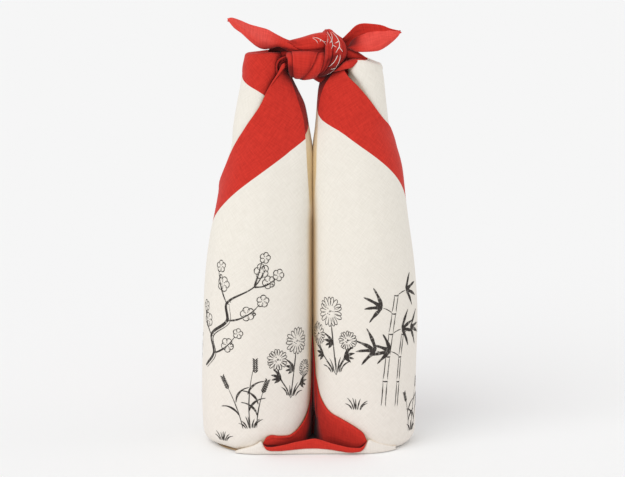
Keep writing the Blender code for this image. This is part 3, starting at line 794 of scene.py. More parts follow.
# a strand's middle line, half width, half thickness, and lean of its width in degrees
STRAND = "x y z wide thick lean"
KNOT = (
    # name, direction of the strand's width, its painted shade at its two ends, its rows,
    # and its creases: where round its section each starts and ends, its depth and half
    # angle, and how far the fold on its far side laps over it
    ("core", UP, (0.2, 0.7),
     ((-25, 0, 294.6, 8, 8), (-14, -2, 296, 9, 11), (0, -2, 297, 10, 14), (13, -1, 296.5, 10, 12),
      (26, 0, 294.6, 8.2, 8.6)),
     ((0, 40, 0.25, 8, 0.1), (75, 100, 0.3, 7, 0.1), (170, 200, 0.25, 8, 0.1),
      (250, 280, 0.3, 7, 0.1))),
    ("right_under", UP, (0.1, 0.4),
     ((-6, -4, 288, 3, 5), (1, -4.4, 285.4, 4, 5.4), (7, -4.4, 283.6, 5.6, 5.4),
      (13, -4.4, 284, 6.4, 5.2), (20, -5.4, 286, 6, 4.4), (27, -6, 288, 4, 3.4)),
     ((250, 300, 0.3, 7, 0.1),)),
    ("front_wrap", ACROSS, (0, 0),
     ((-4.6, 13, 291, 10, 3.6), (-5.4, 7, 285.6, 9.8, 3.4), (-6.3, -6, 284.4, 10, 3.4),
      (-6.4, -14, 287.2, 11.2, 3.8), (-5.4, -17.4, 293, 12.9, 4), (-4.7, -16.6, 297.8, 14.2, 3.6),
      (-4.8, -12.4, 300.4, 14.8, 2.7), (-4.8, -3, 301.6, 14, 2.4), (-5, 9, 302, 12, 3.4),
      (-4.8, 14, 296, 11, 3.6)),
     ((226, 222, 0.4, 3.6, 0.16), (207, 387, 0.4, 3.6, 0.22), (222, 349, 0.16, 3, 0.05),
      (60, 70, 0.4, 8, 0.1), (120, 110, 0.4, 8, 0.1))),
    ("top_pass", UP, (0, 0),
     ((-22, -9, 307, 2.6, 2.4), (-16, -9.2, 306.2, 4.6, 4.2), (-8, -8.8, 306.7, 5.9, 6.2),
      (1, -7.6, 307.6, 7.4, 7.8), (8, -5.4, 307.9, 7.9, 8.4), (15, -1, 307, 7.2, 8),
      (22, 5, 302, 6.4, 7), (25, 8, 296, 5, 6)),
     ((15, 535, 0.2, 7, 0.15), (130, 108, 0.14, 8, 0.05), (300, 250, 0.3, 8, 0.1))),
    ("right_wrap", ACROSS, (-0.3, 0.6),
     ((9, 12, 300, 7, 3), (10.4, 9, 309, 6, 3), (11.8, 2, 315, 3.6, 2.6),
      (12.6, -4.4, 315, 3.4, 2.6, -10), (15.4, -9.8, 310.6, 6.4, 3, -24),
      (17.4, -12.8, 305.8, 8.8, 3.3, -30), (17.2, -14.8, 301.4, 8.8, 3.5, -32),
      (15.6, -15.6, 296.8, 7.8, 3.6, -34), (12.8, -14.8, 292, 6.8, 3.5, -30),
      (9, -12, 288.2, 5.4, 3.3, -20), (5, -6, 285.8, 4.4, 3), (2, 4, 286, 5, 3),
      (5, 12, 292, 6, 3)),
     ((112, 126, 0.4, 4.5, 0.2), (70, 58, 0.34, 4.5, 0.2), (148, 140, 0.2, 4, 0.1),
      (240, 250, 0.3, 6, 0.1), (300, 290, 0.3, 6, 0.1))),
    # the left corner's root passing into the knot, dark all along with painted shade for the shadow
    # under that corner
    ("left_lead", UP, (0.8, 0.8),
     ((-33, -3, 302, 0.5, 1.5), (-30, -3.4, 303.2, 2, 3), (-25, -4.2, 304, 3, 4),
      (-18, -5, 304.6, 3, 4.5)),
     ()),
    ("left_edge", UP, (0.3, 0.3),
     ((-18.4, -12.6, 298.4, 0.7, 0.7), (-20.6, -13.6, 298.2, 0.7, 0.7),
      (-23.6, -14.2, 297, 0.7, 0.7), (-25.8, -14.4, 294.9, 0.7, 0.7),
      (-26.8, -14.6, 291.6, 0.7, 0.7), (-26.4, -15, 287.6, 0.7, 0.7),
      (-25.4, -15, 284.4, 0.6, 0.6)),
     ()),
    ("left_fold", UP, (0.5, 0.5),
     ((-18.6, -12, 296, 0.7, 0.9), (-21.4, -12.8, 295.4, 0.7, 0.9), (-23.6, -13.2, 293.6, 0.7, 0.9),
      (-24.4, -13.6, 290.6, 0.7, 0.9), (-23.8, -13.4, 287.4, 0.7, 0.9)),
     ()),
    ("hem_tip", UP, (0, 0),
     ((-32.6, -20, 275.4, 0.4, 0.4), (-30.3, -19.8, 279, 0.5, 0.6), (-27.6, -18.4, 282.9, 0.6, 0.8),
      (-25, -17, 286.6, 0.8, 1), (-22.9, -16, 290, 1.3, 1.3), (-21.6, -15.6, 292, 1.6, 1.4),
      (-20.8, -15.4, 293.4, 0.9, 0.9), (-20.5, -15.2, 293.9, 0.2, 0.2)),
     ()),
    ("right_fold", UP, (0, 0),
     ((14, -11.4, 287, 0.5, 1.6), (17.4, -12.6, 288.2, 0.9, 2.6), (20.7, -13.6, 289.7, 1.7, 3),
      (24.3, -14, 291.9, 2.7, 3.2), (27.4, -13.9, 292.9, 3.1, 3), (30.9, -12.8, 294.7, 2.2, 2.6),
      (33.6, -11.4, 295.9, 1.1, 2), (36, -9.8, 296.7, 0.4, 1.2)),
     ((200, 190, 0.3, 12, 0),)),
    ("right_lead", UP, (0.35, 0),
     ((20, -4, 300.6, 3.4, 5), (27, -6, 300, 4, 5), (33, -6.6, 298.2, 3.4, 4.6),
      (38.4, -6.4, 296.7, 1.8, 3), (41, -6, 296.4, 0.5, 1)),
     ((250, 270, 0.3, 7, 0.1),)),
)


def nook_shade(points):
    """Painted shade on the front of the knot at points of its strands."""
    total = 0.0
    for x, z, wide, tall, lean, shade in NOOKS:
        along, across = turned(points[:, :, 0] - x, points[:, :, 2] - z, math.radians(lean))
        total = total + shade * bell(along, wide) * bell(across, tall)
    return total * (points[:, :, 1] < 0)


def creased(valleys, shade, angle, share, seed):
    """A strand's size about its section, and its painted shade, at each of its points."""
    def wave(waves_round, waves_along, part):
        return np.sin(waves_round * angle + waves_along * share + part * seed)
    size = 1 + sum(swell * wave(*waves) for swell, *waves in STRAND_SWELL)
    deep = np.clip(shade[0] + (shade[1] - shade[0]) * share, 0.0, SHADE_MOST) + 0 * size
    for start, end, depth, width, lap in valleys:
        spot = np.radians(start + (end - start) * share)
        gap = np.degrees((angle - spot + math.pi) % (2 * math.pi) - math.pi)
        size = size - depth * np.exp(-np.abs(gap) / width)
        fade = np.where(gap < 0, CREASE_FAR, CREASE_NEAR)
        deep = deep + CREASE_SHADE * depth * np.exp(-np.abs(gap) / fade)
        size = size + lap * np.exp(-gap / LAP_REACH) * (gap > 0)
    return size + FINE_HEIGHT * wave(*FINE_WAVES[0]) * wave(*FINE_WAVES[1]), deep


def strand(sheet, width_way, shade, rows, valleys, seed):
    """A flattened bundle of cloth along a smooth line, creased where its folds meet."""
    places = distances([row[:3] for row in rows])
    at = np.linspace(0.0, places[-1], int(places[-1] / RING_STEP) + 2)
    *middle, wide, thick, lean = table_along(places, STRAND, rows).read(STRAND, at)
    middle = np.stack(middle, axis=-1)
    along = unit(np.gradient(middle, axis=0))
    across = unit(np.array(width_way) - along * (along @ np.array(width_way))[:, None])
    across, front = turned(across, np.cross(along, across), np.radians(lean)[:, None])
    girth = math.pi * float(np.max(wide) + np.max(thick))
    count = int(np.clip(girth / POINT_STEP, *STRAND_POINTS))
    angle = np.linspace(0.0, 2 * math.pi, count, endpoint=False)[None, :]
    size, deep = creased(valleys, shade, angle, at[:, None] / places[-1], seed)
    out_x, out_y = [np.sign(turn) * np.abs(turn)**power for turn, power in
                    zip((np.cos(angle), np.sin(angle)), STRAND_POWERS)]
    out_x = out_x * wide[:, None] * ((1 - CREASE_ACROSS) + CREASE_ACROSS * size)
    out_y = out_y * thick[:, None] * size
    points = middle[:, None, :] + out_x[:, :, None] * across[:, None, :]
    points = points + out_y[:, :, None] * front[:, None, :]
    flat_u = np.broadcast_to(angle * (wide.mean() + thick.mean()) / 2, out_x.shape)
    flat_v = np.broadcast_to(at[:, None], out_x.shape) + STRAND_FLAT[0] + STRAND_FLAT[1] * seed
    # painted shade: the strand's own, with the nooks' added
    shut = np.minimum(deep + nook_shade(points), NOOK_MOST)
    sheet.grid(points, np.stack([flat_u, flat_v], axis=-1), PLAIN_RED,
               np.clip(deep, shut, SHADE_MOST), closed=True)
    return points


# ---------------------------------------------------------- the free corners
# a corner's section: its upper and lower edges, its depth, its hollow, and how far its
# upper edge turns back and its lower one to the front
LEAF = "top_x top_z low_x low_z y hollow turn"
# how far out painted light, standing for light coming through a layer, starts and ends, and
# how much painted shade it has at its root and along its lower edge
LeafLight = namedtuple("LeafLight", "start full root low")
CORNERS = (
    # the left corner, then the right one's layer behind and the one in front of it, which
    # has an upper hem of its own
    (LeafLight(20, 38, 0, 0.8),
     ((-12, 310, -12, 304, -9, -1), (-17.5, 310.7, -19.1, 303.6, -9.4, -2),
      (-23, 312.9, -25.4, 305.6, -9.6, -2.6, 1.6), (-28.5, 315.7, -31, 304.6, -9.8, -3.2, 3.6),
      (-34, 318.4, -36, 304.3, -10, -3.4, 6.4), (-40, 320.1, -41, 306, -10, -3.2, 6.4),
      (-47, 322.2, -46.6, 310.2, -10, -2.8, 4.8), (-54, 325.3, -52.8, 315.8, -10, -2.2, 3),
      (-60, 327.4, -58.4, 319.6, -10, -1.4), (-63.4, 326.5, -63, 325.2, -10))),
    (LeafLight(60, 90, 0.1, 0),
     ((17, 307.4, 19, 302.4, -3, 1), (22.1, 310.4, 24.4, 303.6, -3, 1),
      (27.6, 315.8, 30.6, 303.4, -3.4, 1.4), (32.5, 320.6, 36, 303, -4.4, 1.6),
      (37.5, 322.3, 42, 303.4, -6, 1.6), (44.5, 322.1, 48, 304.6, -8, 1.4),
      (51.5, 321.2, 53.6, 307, -9.6, 1), (58, 318.8, 59, 310.4, -10.6, 0.6),
      (63.4, 317.6, 63.4, 314.6, -11, 0.2), (65.6, 317.3, 65.4, 317, -11))),
    (LeafLight(31, 42, 0.75, 0),
     ((22, 304.8, 21.6, 303, -9, -0.6), (26.6, 306, 26, 304.6, -10, -1),
      (28.6, 309.4, 29.6, 303.2, -10.4, -2.6, 1), (31.4, 311.9, 33.6, 302.2, -10.6, -3.2, 3.6),
      (35.4, 313.7, 38.4, 302.3, -10.8, -3.6, 5.6), (41, 315.9, 44, 302.6, -11, -3.6, 6),
      (47, 318.6, 49.6, 303.4, -11.2, -3.2, 5.4), (53.4, 318.9, 55, 306.2, -11.4, -2.6, 3.8),
      (59, 317.8, 60, 309.8, -11.4, -2, 0.6), (63.6, 317.2, 63.8, 313.6, -11.4, -0.8),
      (65.8, 317.2, 65.7, 316.8, -11.2))),
)
LEAF_STEPS = 9  # rows of the mesh from one section to the next
LEAF_COLUMNS = 30  # points across it, without its hems
LEAF_RIPPLE = (0.35, 9.0, 0.9)  # a corner's ripple: its height, waves across and along it
LEAF_ROUND = 0.8  # what its hollow is rounded with
LEAF_LONG = 6.5  # distance on the flat cloth from one section to the next
LEAF_FLAT = (400.0, 90.0)  # where it lies there, and step from one corner to the next
# the fall-off of the corners' painted light and painted shade:
LEAF_DIM = 0.6  # how much less light comes through at the lower edge
ROOT_TO = (28.0, 39.0)  # how far out the shade at the root dies away
ROOT_DOWN = (0.4, 0.8)  # and how far down
LOW_FROM, LOW_TO = (14.0, 30.0), (34.0, 50.0)  # how far out the lower edge's shade lies
LOW_DOWN = (0.55, 1.0)  # and how far down it grows
HEM_THICK = 1.0  # thickness of a corner's rolled hem
HEM_OUT = 0.35  # how far it bulges out past the edge
HEM_COLUMNS = (0, 2, 4, 6, 7)  # the columns that its back lies behind


def hemmed(points):
    """Turn both long edges of a grid to its back, for the thickness of a rolled hem."""
    normal = unit(np.cross(np.gradient(points, axis=0), np.gradient(points, axis=1)))
    back = normal * np.sign(normal[:, :, 1].mean()) * HEM_THICK
    sides = []
    for edge, step in ((0, 1), (-1, -1)):
        out = unit(points[:, edge] - points[:, edge + step])
        turned = [points[:, edge] + HEM_OUT * out + 0.5 * back[:, edge]]
        turned += [points[:, edge + step * i] + back[:, edge + step * i] for i in HEM_COLUMNS]
        sides.append(turned)
    columns = sides[0][::-1] + [points[:, i] for i in range(points.shape[1])] + sides[1]
    return np.stack(columns, axis=1)


def leaf(sheet, light, rows, seed):
    """A free corner of the cloth: a hemmed sheet, hollow or full across, turned at its edges."""
    last = len(rows) - 1
    at = np.linspace(0.0, last, LEAF_STEPS * last + 1)[:, None]
    top_x, top_z, low_x, low_z, y, hollow, turn = table_along(
        range(last + 1), LEAF, rows).read(LEAF, at)
    s = np.linspace(0.0, 1.0, LEAF_COLUMNS)[None, :]
    high, across, along = LEAF_RIPPLE
    ripple = high * np.sin(across * s + along * at + seed) * np.sin(math.pi * s)
    y = y + hollow * np.sin(math.pi * s)**LEAF_ROUND + turn * np.cos(math.pi * s) + ripple
    points = np.stack([top_x + (low_x - top_x) * s, y, top_z + (low_z - top_z) * s], axis=-1)
    points = hemmed(points)
    width = np.linalg.norm(np.diff(points, axis=1), axis=2).mean(axis=0)
    flat_u = np.concatenate([[0.0], np.cumsum(width)])[None, :] + 0 * at
    flat_v = np.broadcast_to(at * LEAF_LONG, flat_u.shape) + LEAF_FLAT[0] + LEAF_FLAT[1] * seed
    down = as_share(flat_u / flat_u[:, -1:])
    away = np.abs(points[:, :, 0])
    # painted light through the corner, and painted shade at its root and lower edge
    glow = smooth(light.start, light.full, away) * (1 - LEAF_DIM * down**2)
    deep = light.root * (1 - smooth(*ROOT_TO, away)) * (1 - smooth(*ROOT_DOWN, down))
    under = smooth(*LOW_FROM, away) * (1 - smooth(*LOW_TO, away))
    deep = np.maximum(deep, light.low * under * smooth(*LOW_DOWN, down))
    sheet.grid(points, np.stack([flat_u, flat_v], axis=-1), PLAIN_RED, deep, glow)


# ------------------------------------------------------------------- the print
# a brush stroke: its line in the plane of the print, its width, and how early it swells
Stroke = namedtuple("Stroke", "line width press")
# a drawing: its kind, the roll's side, the turn and height of its foot, size and lean
Drawing = namedtuple("Drawing", "kind side turn z size lean")
INK_LIFT = 0.12  # how proud of the cloth the ink lies
INK_STEP = 1.1  # step along a stroke
INK_BOLD, KNOT_BOLD = 1.15, 0.62  # how broad the black and the white drawings' strokes are
INK_THIN, INK_SWELL = 0.14, 0.36  # a stroke's half width at its ends, and what it gains
INK_UNEVEN, INK_WAVES = 0.16, (11.0, 5.0)  # how much and how quickly this changes along it
INK_TIP = 0.3  # how much of its width is left at its very ends
INK_FLAT = 50.0  # distance on the flat cloth from one drawing to the next
TURN_LONG = 0.72  # length of one degree round a roll in the print
KNOT_SEED = 40  # seed of the white drawings' random draws
# how far on each side of a place the cloth is read to find how it faces: degrees and
# height on a roll, degrees and share of the length on a strand
ROLL_NEAR, STRAND_NEAR = (2.0, 1.5), (6.0, 0.01)

DRAWINGS = (
    ("plum", -1, 40, 62, 1, 6), ("daisy", -1, 128, 44, 0.9, 8), ("reeds", -1, 84, 20, 0.8, -6),
    ("tuft", -1, 52, 8, 0.7, 0), ("bamboo", -1, -28, 20, 1, -5), ("daisy", -1, -80, 34, 1, 4),
    ("tuft", -1, -110, 12, 0.9, 0), ("tuft", -1, -50, 6, 0.8, 0), ("bamboo", 1, 66, 36, 1.05, 7),
    ("daisy", 1, 124, 62, 1, -7), ("reeds", 1, 26, 12, 0.62, 4), ("tuft", 1, 100, 34, 0.8, 0),
    ("plum", 1, -24, 48, 0.9, 0), ("reeds", 1, -66, 24, 1, 5), ("bamboo", 1, -106, 12, 0.78, -4),
    ("tuft", 1, -94, 8, 0.8, 0),
)
KNOT_DRAWINGS = (
    # strand, drawing, where round and along the strand, size, lean
    ("right_wrap", "sprig", 81.0, 0.50, 0.42, 3.0),
    ("right_wrap", "sprig", 84.0, 0.30, 0.46, 6.0),
    ("right_wrap", "sprig", 132.0, 0.30, 0.42, -4.0),
    ("top_pass", "sprig", 44.0, 0.38, 0.28, 44.0),
)


def polar(x, z, way, length):
    return x + length * math.sin(math.radians(way)), z + length * math.cos(math.radians(way))


def blade(x, z, way, length, bend, width, press=0.7):
    """One long leaf: a stroke from a point, its way turning as it goes."""
    line = [(x, z)]
    for part in range(4):
        line.append(polar(*line[-1], way + bend * part / 3.0, length / 4.0))
    return Stroke(line, width, press)


def ring(x, z, wide, tall, lean, start, stop, width):
    """Part of an oval drawn with one stroke."""
    a = np.radians(np.linspace(start, stop, 9))
    u, v = turned(wide * np.sin(a), tall * np.cos(a), math.radians(lean))
    return Stroke(list(zip(x + u, z + v)), width, 0.8)


def sprig(dice):
    """A long bending stem with a few small leaves."""
    stem = blade(0.0, 0.0, -14.0, 40.0, 30.0, 1.1, 0.8)
    strokes = [stem, blade(3.0, 2.0, 4.0, 24.0, 26.0, 0.9, 0.8)]
    for spot, side in ((2, 1.0), (3, -1.0)):
        long = 6.0 + 3.0 * dice.random()
        strokes.append(blade(*stem.line[spot], 38.0 * side, long, 30.0 * side, 1.0))
    return strokes


def tuft(dice):
    """A few blades of grass."""
    ways = np.linspace(-48.0, 52.0, 7) + dice.uniform(-6.0, 6.0, 7)
    return [blade(way / 12.0, 0.0, way * 0.5, 9.0 + 5.0 * dice.random(), way, 1.0) for way in ways]


def reeds(dice):
    """Tall reeds with seed heads, bending over."""
    strokes = tuft(dice)
    for x, way, tall in ((-7.0, -9.0, 52.0), (0.0, 2.0, 66.0), (6.0, 10.0, 46.0)):
        stem = blade(x, 0.0, way, tall, 16.0 * np.sign(way), 0.75, 0.5)
        strokes.append(stem)
        for share in (0.25, 0.5):
            side = 1.0 if dice.random() > 0.5 else -1.0
            strokes.append(blade(*polar(x, 0.0, way, tall * share), way + 24.0 * side, 22.0,
                                 60.0 * side, 1.5))
        for row in range(7):
            foot = polar(*stem.line[-1], way * 2.6 + 180.0, 1.9 * row)
            for side in (-1.0, 1.0):
                strokes.append(blade(*foot, way * 2.6 + side * 34.0, 4.0, 12.0 * side, 1.0, 0.9))
    return strokes


def bamboo(dice):
    """A jointed cane in outline, with fans of pointed leaves."""
    strokes = []
    for x, count, half in ((-3.0, 5, 1.7), (8.0, 3, 1.1)):
        foot, way = (x, 0.0), -3.0
        for joint in range(count):
            long = 19.0 - 1.6 * joint
            tip = polar(*foot, way, long)
            cane = [(foot, 1.15), (polar(*foot, way, 2.0), 0.95),
                    (polar(*foot, way, long / 2), 0.9), (polar(*foot, way, long - 2.0), 0.95),
                    (tip, 1.15)]
            for side in (-1.0, 1.0):
                edge = [(px + side * half * bulge, pz) for (px, pz), bulge in cane]
                strokes.append(Stroke(edge, 0.7, 0.9))
            strokes.append(ring(*tip, half * 1.3, 0.8, 0.0, 100.0, 260.0, 0.9))
            if joint > 0:
                side = -1.0 if joint % 2 else 1.0
                twig = blade(tip[0] + half * side, tip[1], 58.0 * side, 9.0, 20.0 * side, 0.6)
                strokes.append(twig)
                for spread in (20.0, 62.0, 98.0, 134.0):
                    strokes.append(blade(*twig.line[-1], spread * side + dice.uniform(-7.0, 7.0),
                                         13.0 + 5.0 * dice.random(), 14.0 * side, 2.3, 0.6))
            foot, way = polar(*tip, way, 0.7), way + 2.4
    return strokes


def blossom(x, z, size, lean):
    """A five-petalled flower with its stamens."""
    strokes = []
    for way in [lean + 72.0 * petal for petal in range(5)]:
        strokes.append(ring(*polar(x, z, way, size * 0.62), size * 0.5, size * 0.45, way,
                            -135.0, 135.0, 0.6))
        strokes.append(blade(*polar(x, z, way + 30.0, size * 0.16), way + 30.0, size * 0.42,
                             0.0, 0.45))
    return strokes


def plum(dice):
    """A crooked bough with twigs, buds and blossom."""
    bough = [(-12.0, 0.0), (-2.0, 13.0), (-7.0, 26.0), (8.0, 41.0), (6.0, 54.0), (26.0, 70.0),
             (33.0, 84.0)]
    shade = [(x + 2.6, z - 0.8) for x, z in bough[:5]]
    strokes = [Stroke(bough, 2.2, 0.45), Stroke(shade, 0.7, 0.7)]
    for knot, way, long in ((1, 62.0, 26.0), (2, -48.0, 22.0), (3, 74.0, 30.0), (4, -36.0, 27.0),
                            (5, 12.0, 20.0), (5, 84.0, 18.0)):
        twig = blade(*bough[knot], way, long, -0.5 * way, 1.1, 0.5)
        strokes.append(twig)
        for spot, share in ((2, 1.0), (4, 0.8)):
            x, z = twig.line[spot]
            size = 4.6 * share + 0.8 * dice.random()
            strokes += blossom(x + 2.0, z + 2.6, size, 360.0 * dice.random())
        bud = polar(*twig.line[3], way + 80.0, 2.2)
        strokes.append(ring(*bud, 1.1, 1.5, way, -150.0, 150.0, 0.8))
    for scar in range(9):
        x, z = bough[1 + scar // 2]
        strokes.append(blade(x - 1.0 + 0.8 * scar % 3, z + 2.2 * (scar % 2), 95.0, 2.4, 30.0, 0.6))
    return strokes


def daisy(dice):
    """A clump of ragged many-petalled flowers with notched leaves."""
    strokes = []
    for x, z, size, lean in ((0.0, 47.0, 10.0, 0.0), (-17.0, 30.0, 8.0, -20.0),
                             (13.0, 24.0, 6.6, 24.0)):
        for petal in range(17):
            way = lean + 360.0 * petal / 17 + dice.uniform(-5.0, 5.0)
            reach = size * (0.72 + 0.12 * dice.random())
            strokes.append(ring(*polar(x, z, way, reach), size * 0.15, size * 0.36, way,
                                -160.0, 160.0, 0.55))
        for seed in range(8):
            spot = polar(x, z, 137.5 * seed, size * 0.05 * seed)
            strokes.append(blade(*spot, 60.0 * seed, 1.3, 30.0, 0.6))
        foot = polar(x, z, 180.0 + lean * 0.5, size)
        stem = [foot, (foot[0] * 0.72, foot[1] * 0.6), (foot[0] * 0.3, foot[1] * 0.25), (0.0, -2.0)]
        strokes.append(Stroke(stem, 1.0, 0.6))
        side = 1.0 if lean > 0 else -1.0
        for lobe in range(4):
            way = side * (30.0 + 26.0 * lobe)
            strokes.append(blade(*stem[1], way, 12.0 - 1.8 * lobe, 30.0 * side, 2.0, 0.8))
    return strokes + tuft(dice)


def brushed(stroke):
    """A stroke's points along its smoothed line, with its half width at each."""
    places = distances(stroke.line)
    at = np.linspace(0.0, places[-1], max(5, int(places[-1] / INK_STEP) + 1))
    x, z = table_along(places, "x z", stroke.line).read("x z", at)
    share = at / places[-1]
    half = stroke.width * (INK_THIN + INK_SWELL * np.sin(math.pi * share**stroke.press))
    half = half * (1 + INK_UNEVEN * np.sin(INK_WAVES[0] * share + INK_WAVES[1] * places[-1]))
    half[[0, -1]] *= INK_TIP
    return x, z, half


def facing(laid, around, up, near):
    """How the cloth faces at places on a laid surface, read from near them on both sides."""
    on, rise = near
    return unit(np.cross(laid(around, up + rise) - laid(around, up - rise),
                         laid(around + on, up) - laid(around - on, up)))


def on_roll(wall, turn, z):
    """Points of a roll's outer turn, and how the cloth faces there."""
    def laid(turn, z):
        row = np.clip(np.searchsorted(wall.heights, z, side="right") - 1, 0, len(wall.heights) - 2)
        rise = (z - wall.heights[row]) / (wall.heights[row + 1] - wall.heights[row])
        points = 0.0
        for here, share in ((row, 1 - rise), (row + 1, rise)):
            reach = np.radians(turn - wall.start[here]) * wall.radius[here]
            columns = wall.reach[here]
            column = np.clip((columns <= reach[:, None]).sum(axis=1) - 1, 0, columns.shape[1] - 2)
            low, high = [np.take_along_axis(columns, column[:, None] + i, axis=1)[:, 0]
                         for i in (0, 1)]
            part = ((reach - low) / (high - low))[:, None]
            points = points + (wall.points[here, column] * (1 - part)
                               + wall.points[here, column + 1] * part) * share[:, None]
        return points
    return laid(turn, z), facing(laid, turn, z, ROLL_NEAR) * wall.roll.side


def on_strand(points, around, along):
    """Points of a strand, and how the cloth faces there."""
    rings, columns = points.shape[:2]

    def laid(around, along):
        row = np.clip(along * (rings - 1), 0.0, rings - 1.001)
        column = (around % 360.0) / 360.0 * columns
        i, j = row.astype(int), column.astype(int) % columns
        up, on = (row - i)[:, None], (column - column.astype(int))[:, None]
        k = (j + 1) % columns
        return ((points[i, j] * (1 - on) + points[i, k] * on) * (1 - up)
                + (points[i + 1, j] * (1 - on) + points[i + 1, k] * on) * up)
    here, out = laid(around, along), facing(laid, around, along, STRAND_NEAR)
    heart = points.mean(axis=1)[np.clip((along * (rings - 1)).astype(int), 0, rings - 1)]
    return here, out * np.sign((out * (here - heart)).sum(axis=1))[:, None]


class Ink:
    """Brush strokes as ribbons lying on the cloth."""

    kinds = {"plum": plum, "daisy": daisy, "reeds": reeds, "bamboo": bamboo, "tuft": tuft,
             "sprig": sprig}

    def __init__(self):
        self.points, self.flats, self.faces = [], [], []

    def draw(self, drawing, seed, bold, lay):
        """Draw with ribbons, where lay turns places in the drawing into points and facings."""
        for stroke in self.kinds[drawing.kind](np.random.default_rng(seed)):
            x, z, half = brushed(stroke)
            x, z, half = x * drawing.size, z * drawing.size, half * bold * drawing.size**0.5
            x, z = turned(x, z, math.radians(drawing.lean))
            way = unit(np.stack([np.gradient(x), np.gradient(z)], axis=-1))
            count, steps = len(self.points), len(x)
            for side in (-1.0, 1.0):
                points, out = lay(x - side * half * way[:, 1], z + side * half * way[:, 0])
                self.points += [*(points + out * INK_LIFT)]
                self.flats += [*np.stack([x + INK_FLAT * seed, z], axis=-1)]
            first = np.arange(steps - 1) + count
            self.faces.append(
                np.stack([first, first + 1, first + 1 + steps, first + steps], axis=-1))

    def build(self, name, material):
        piece = new_piece(name, self.points, self.flats, self.faces)
        piece.data.materials.append(material)
        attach(piece, "root")


def black_drawings(walls):
    """The drawings on the cream of the rolls."""
    ink = Ink()
    for seed, drawing in enumerate(Drawing(*row) for row in DRAWINGS):
        def lay(x, z):
            turn = drawing.turn - drawing.side * x / TURN_LONG
            return on_roll(walls[int(drawing.side > 0)], turn, np.maximum(z + drawing.z, 1.0))
        ink.draw(drawing, seed, INK_BOLD, lay)
    return ink


def white_drawings(strands):
    """The drawings on the folds of the knot."""
    ink = Ink()
    for name, kind, around, along, size, lean in KNOT_DRAWINGS:
        points = strands[name]
        girth = np.linalg.norm(np.diff(points, axis=1), axis=2).sum(axis=1).max()
        length = distances(points.mean(axis=1))[-1]

        def lay(x, z):
            return on_strand(points, around + x / girth * 360.0, along + z / length)
        ink.draw(Drawing(kind, 0.0, around, along, size, lean), KNOT_SEED, KNOT_BOLD, lay)
    return ink


# ------------------------------------------------------------------- materials
CREAM = (0.835, 0.795, 0.72, 1.0)
CREAM_LOW = (0.83, 0.775, 0.715, 1.0)  # the same near the foot
CREAM_RISE = (0.02, 0.17)  # heights over which it changes, in metres
RED = (0.59, 0.027, 0.016, 1.0)
DYE_EDGE = 0.00015  # half width of the border's edge, in metres
# painted shade: the tints that the cream and the red take in folds and nooks
CREAM_NOOK = (0.80, 0.64, 0.42, 1.0)  # what light through its folds leaves of the cream
RED_NOOK = (0.43, 0.24, 0.25, 1.0)  # and of the red
# painted light: colours standing for light coming through the cloth, a tan on the cream and a
# brighter red
CREAM_GLOW = (0.69, 0.52, 0.29, 1.0)  # the cream and the red where light comes through them
RED_GLOW = (0.78, 0.072, 0.055, 1.0)
# painted shade from an ambient occlusion node in the material: its reach, the openness it maps, and
# its samples
NOOK_REACH = 0.010  # how near another fold has to be, in metres
NOOK_OPEN = (0.30, 0.85)  # openness at which a nook is wholly closed, and open
NOOK_SAMPLES = 12
# painted shade: the deep attribute tints the colour, then darkens it towards near black
DEEP_TINT, DEEP_DARKEN = (0.0, 0.5), (0.4, 1.0)  # closeness over which a fold tints, and darkens
# painted near-black shade for the insides of the closest folds
PAINTED_DARK = (0.017, 0.005, 0.005, 1.0)  # the inside of the closest folds
INK = (0.045, 0.038, 0.034, 1.0)
WHITE_INK = (0.85, 0.80, 0.74, 1.0)
INK_FADE = 0.3  # how much of the cream shows where ink is worn
INK_WORN = (0.52, 0.62)  # thickness of the yarns over which this goes
# how thin and full yarns take the colour
YARN_THICK = (0.36, 0.64)
CREAM_THIN, CREAM_FULL = (0.955, 0.95, 0.94, 1.0), (1.03, 1.03, 1.03, 1.0)
RED_THIN, RED_FULL = (0.86, 0.84, 0.84, 1.0), (1.12, 1.3, 1.3, 1.0)
SLUB_WIDTH = 0.0010  # thickness of an uneven yarn, in metres
SLUB_LONG = 9.0  # length of a yarn's thick places, in yarns
YARN_HIGH = 0.0004  # how far the yarns stand out, in metres


def add_node(tree, kind, inputs=(), **settings):
    """A node with its settings, and its inputs from sockets or plain values."""
    node = tree.nodes.new(kind)
    for name, value in settings.items():
        setattr(node, name, value)
    for name, value in dict(inputs).items():
        if isinstance(value, bpy.types.NodeSocket):
            tree.links.new(value, node.inputs[name])
        else:
            node.inputs[name].default_value = value
    return node


def math_node(tree, operation, first, second, **settings):
    node = add_node(tree, "ShaderNodeMath", {0: first, 1: second}, operation=operation, **settings)
    return node.outputs["Value"]


def mixed(tree, factor, first, second, blend="MIX"):
    """A mix of two colours."""
    inputs = {"Factor": factor, "A": first, "B": second}
    return add_node(tree, "ShaderNodeMix", inputs, data_type="RGBA",
                    blend_type=blend).outputs["Result"]


def ranged(tree, value, low, high, to_low=0.0, to_high=1.0):
    """A value read from one range into another."""
    return add_node(tree, "ShaderNodeMapRange", {
        "Value": value, "From Min": low, "From Max": high, "To Min": to_low,
        "To Max": to_high}).outputs["Result"]


def read(tree, name, kind="Fac"):
    return add_node(tree, "ShaderNodeAttribute", attribute_name=name).outputs[kind]


def new_material(name, values):
    """A material with plain values on its shader's own sockets."""
    material = bpy.data.materials.new(name)
    material.use_nodes = True
    shader = material.node_tree.nodes["Principled BSDF"]
    for socket, value in values.items():
        shader.inputs[socket].default_value = value
    return material, material.node_tree, shader


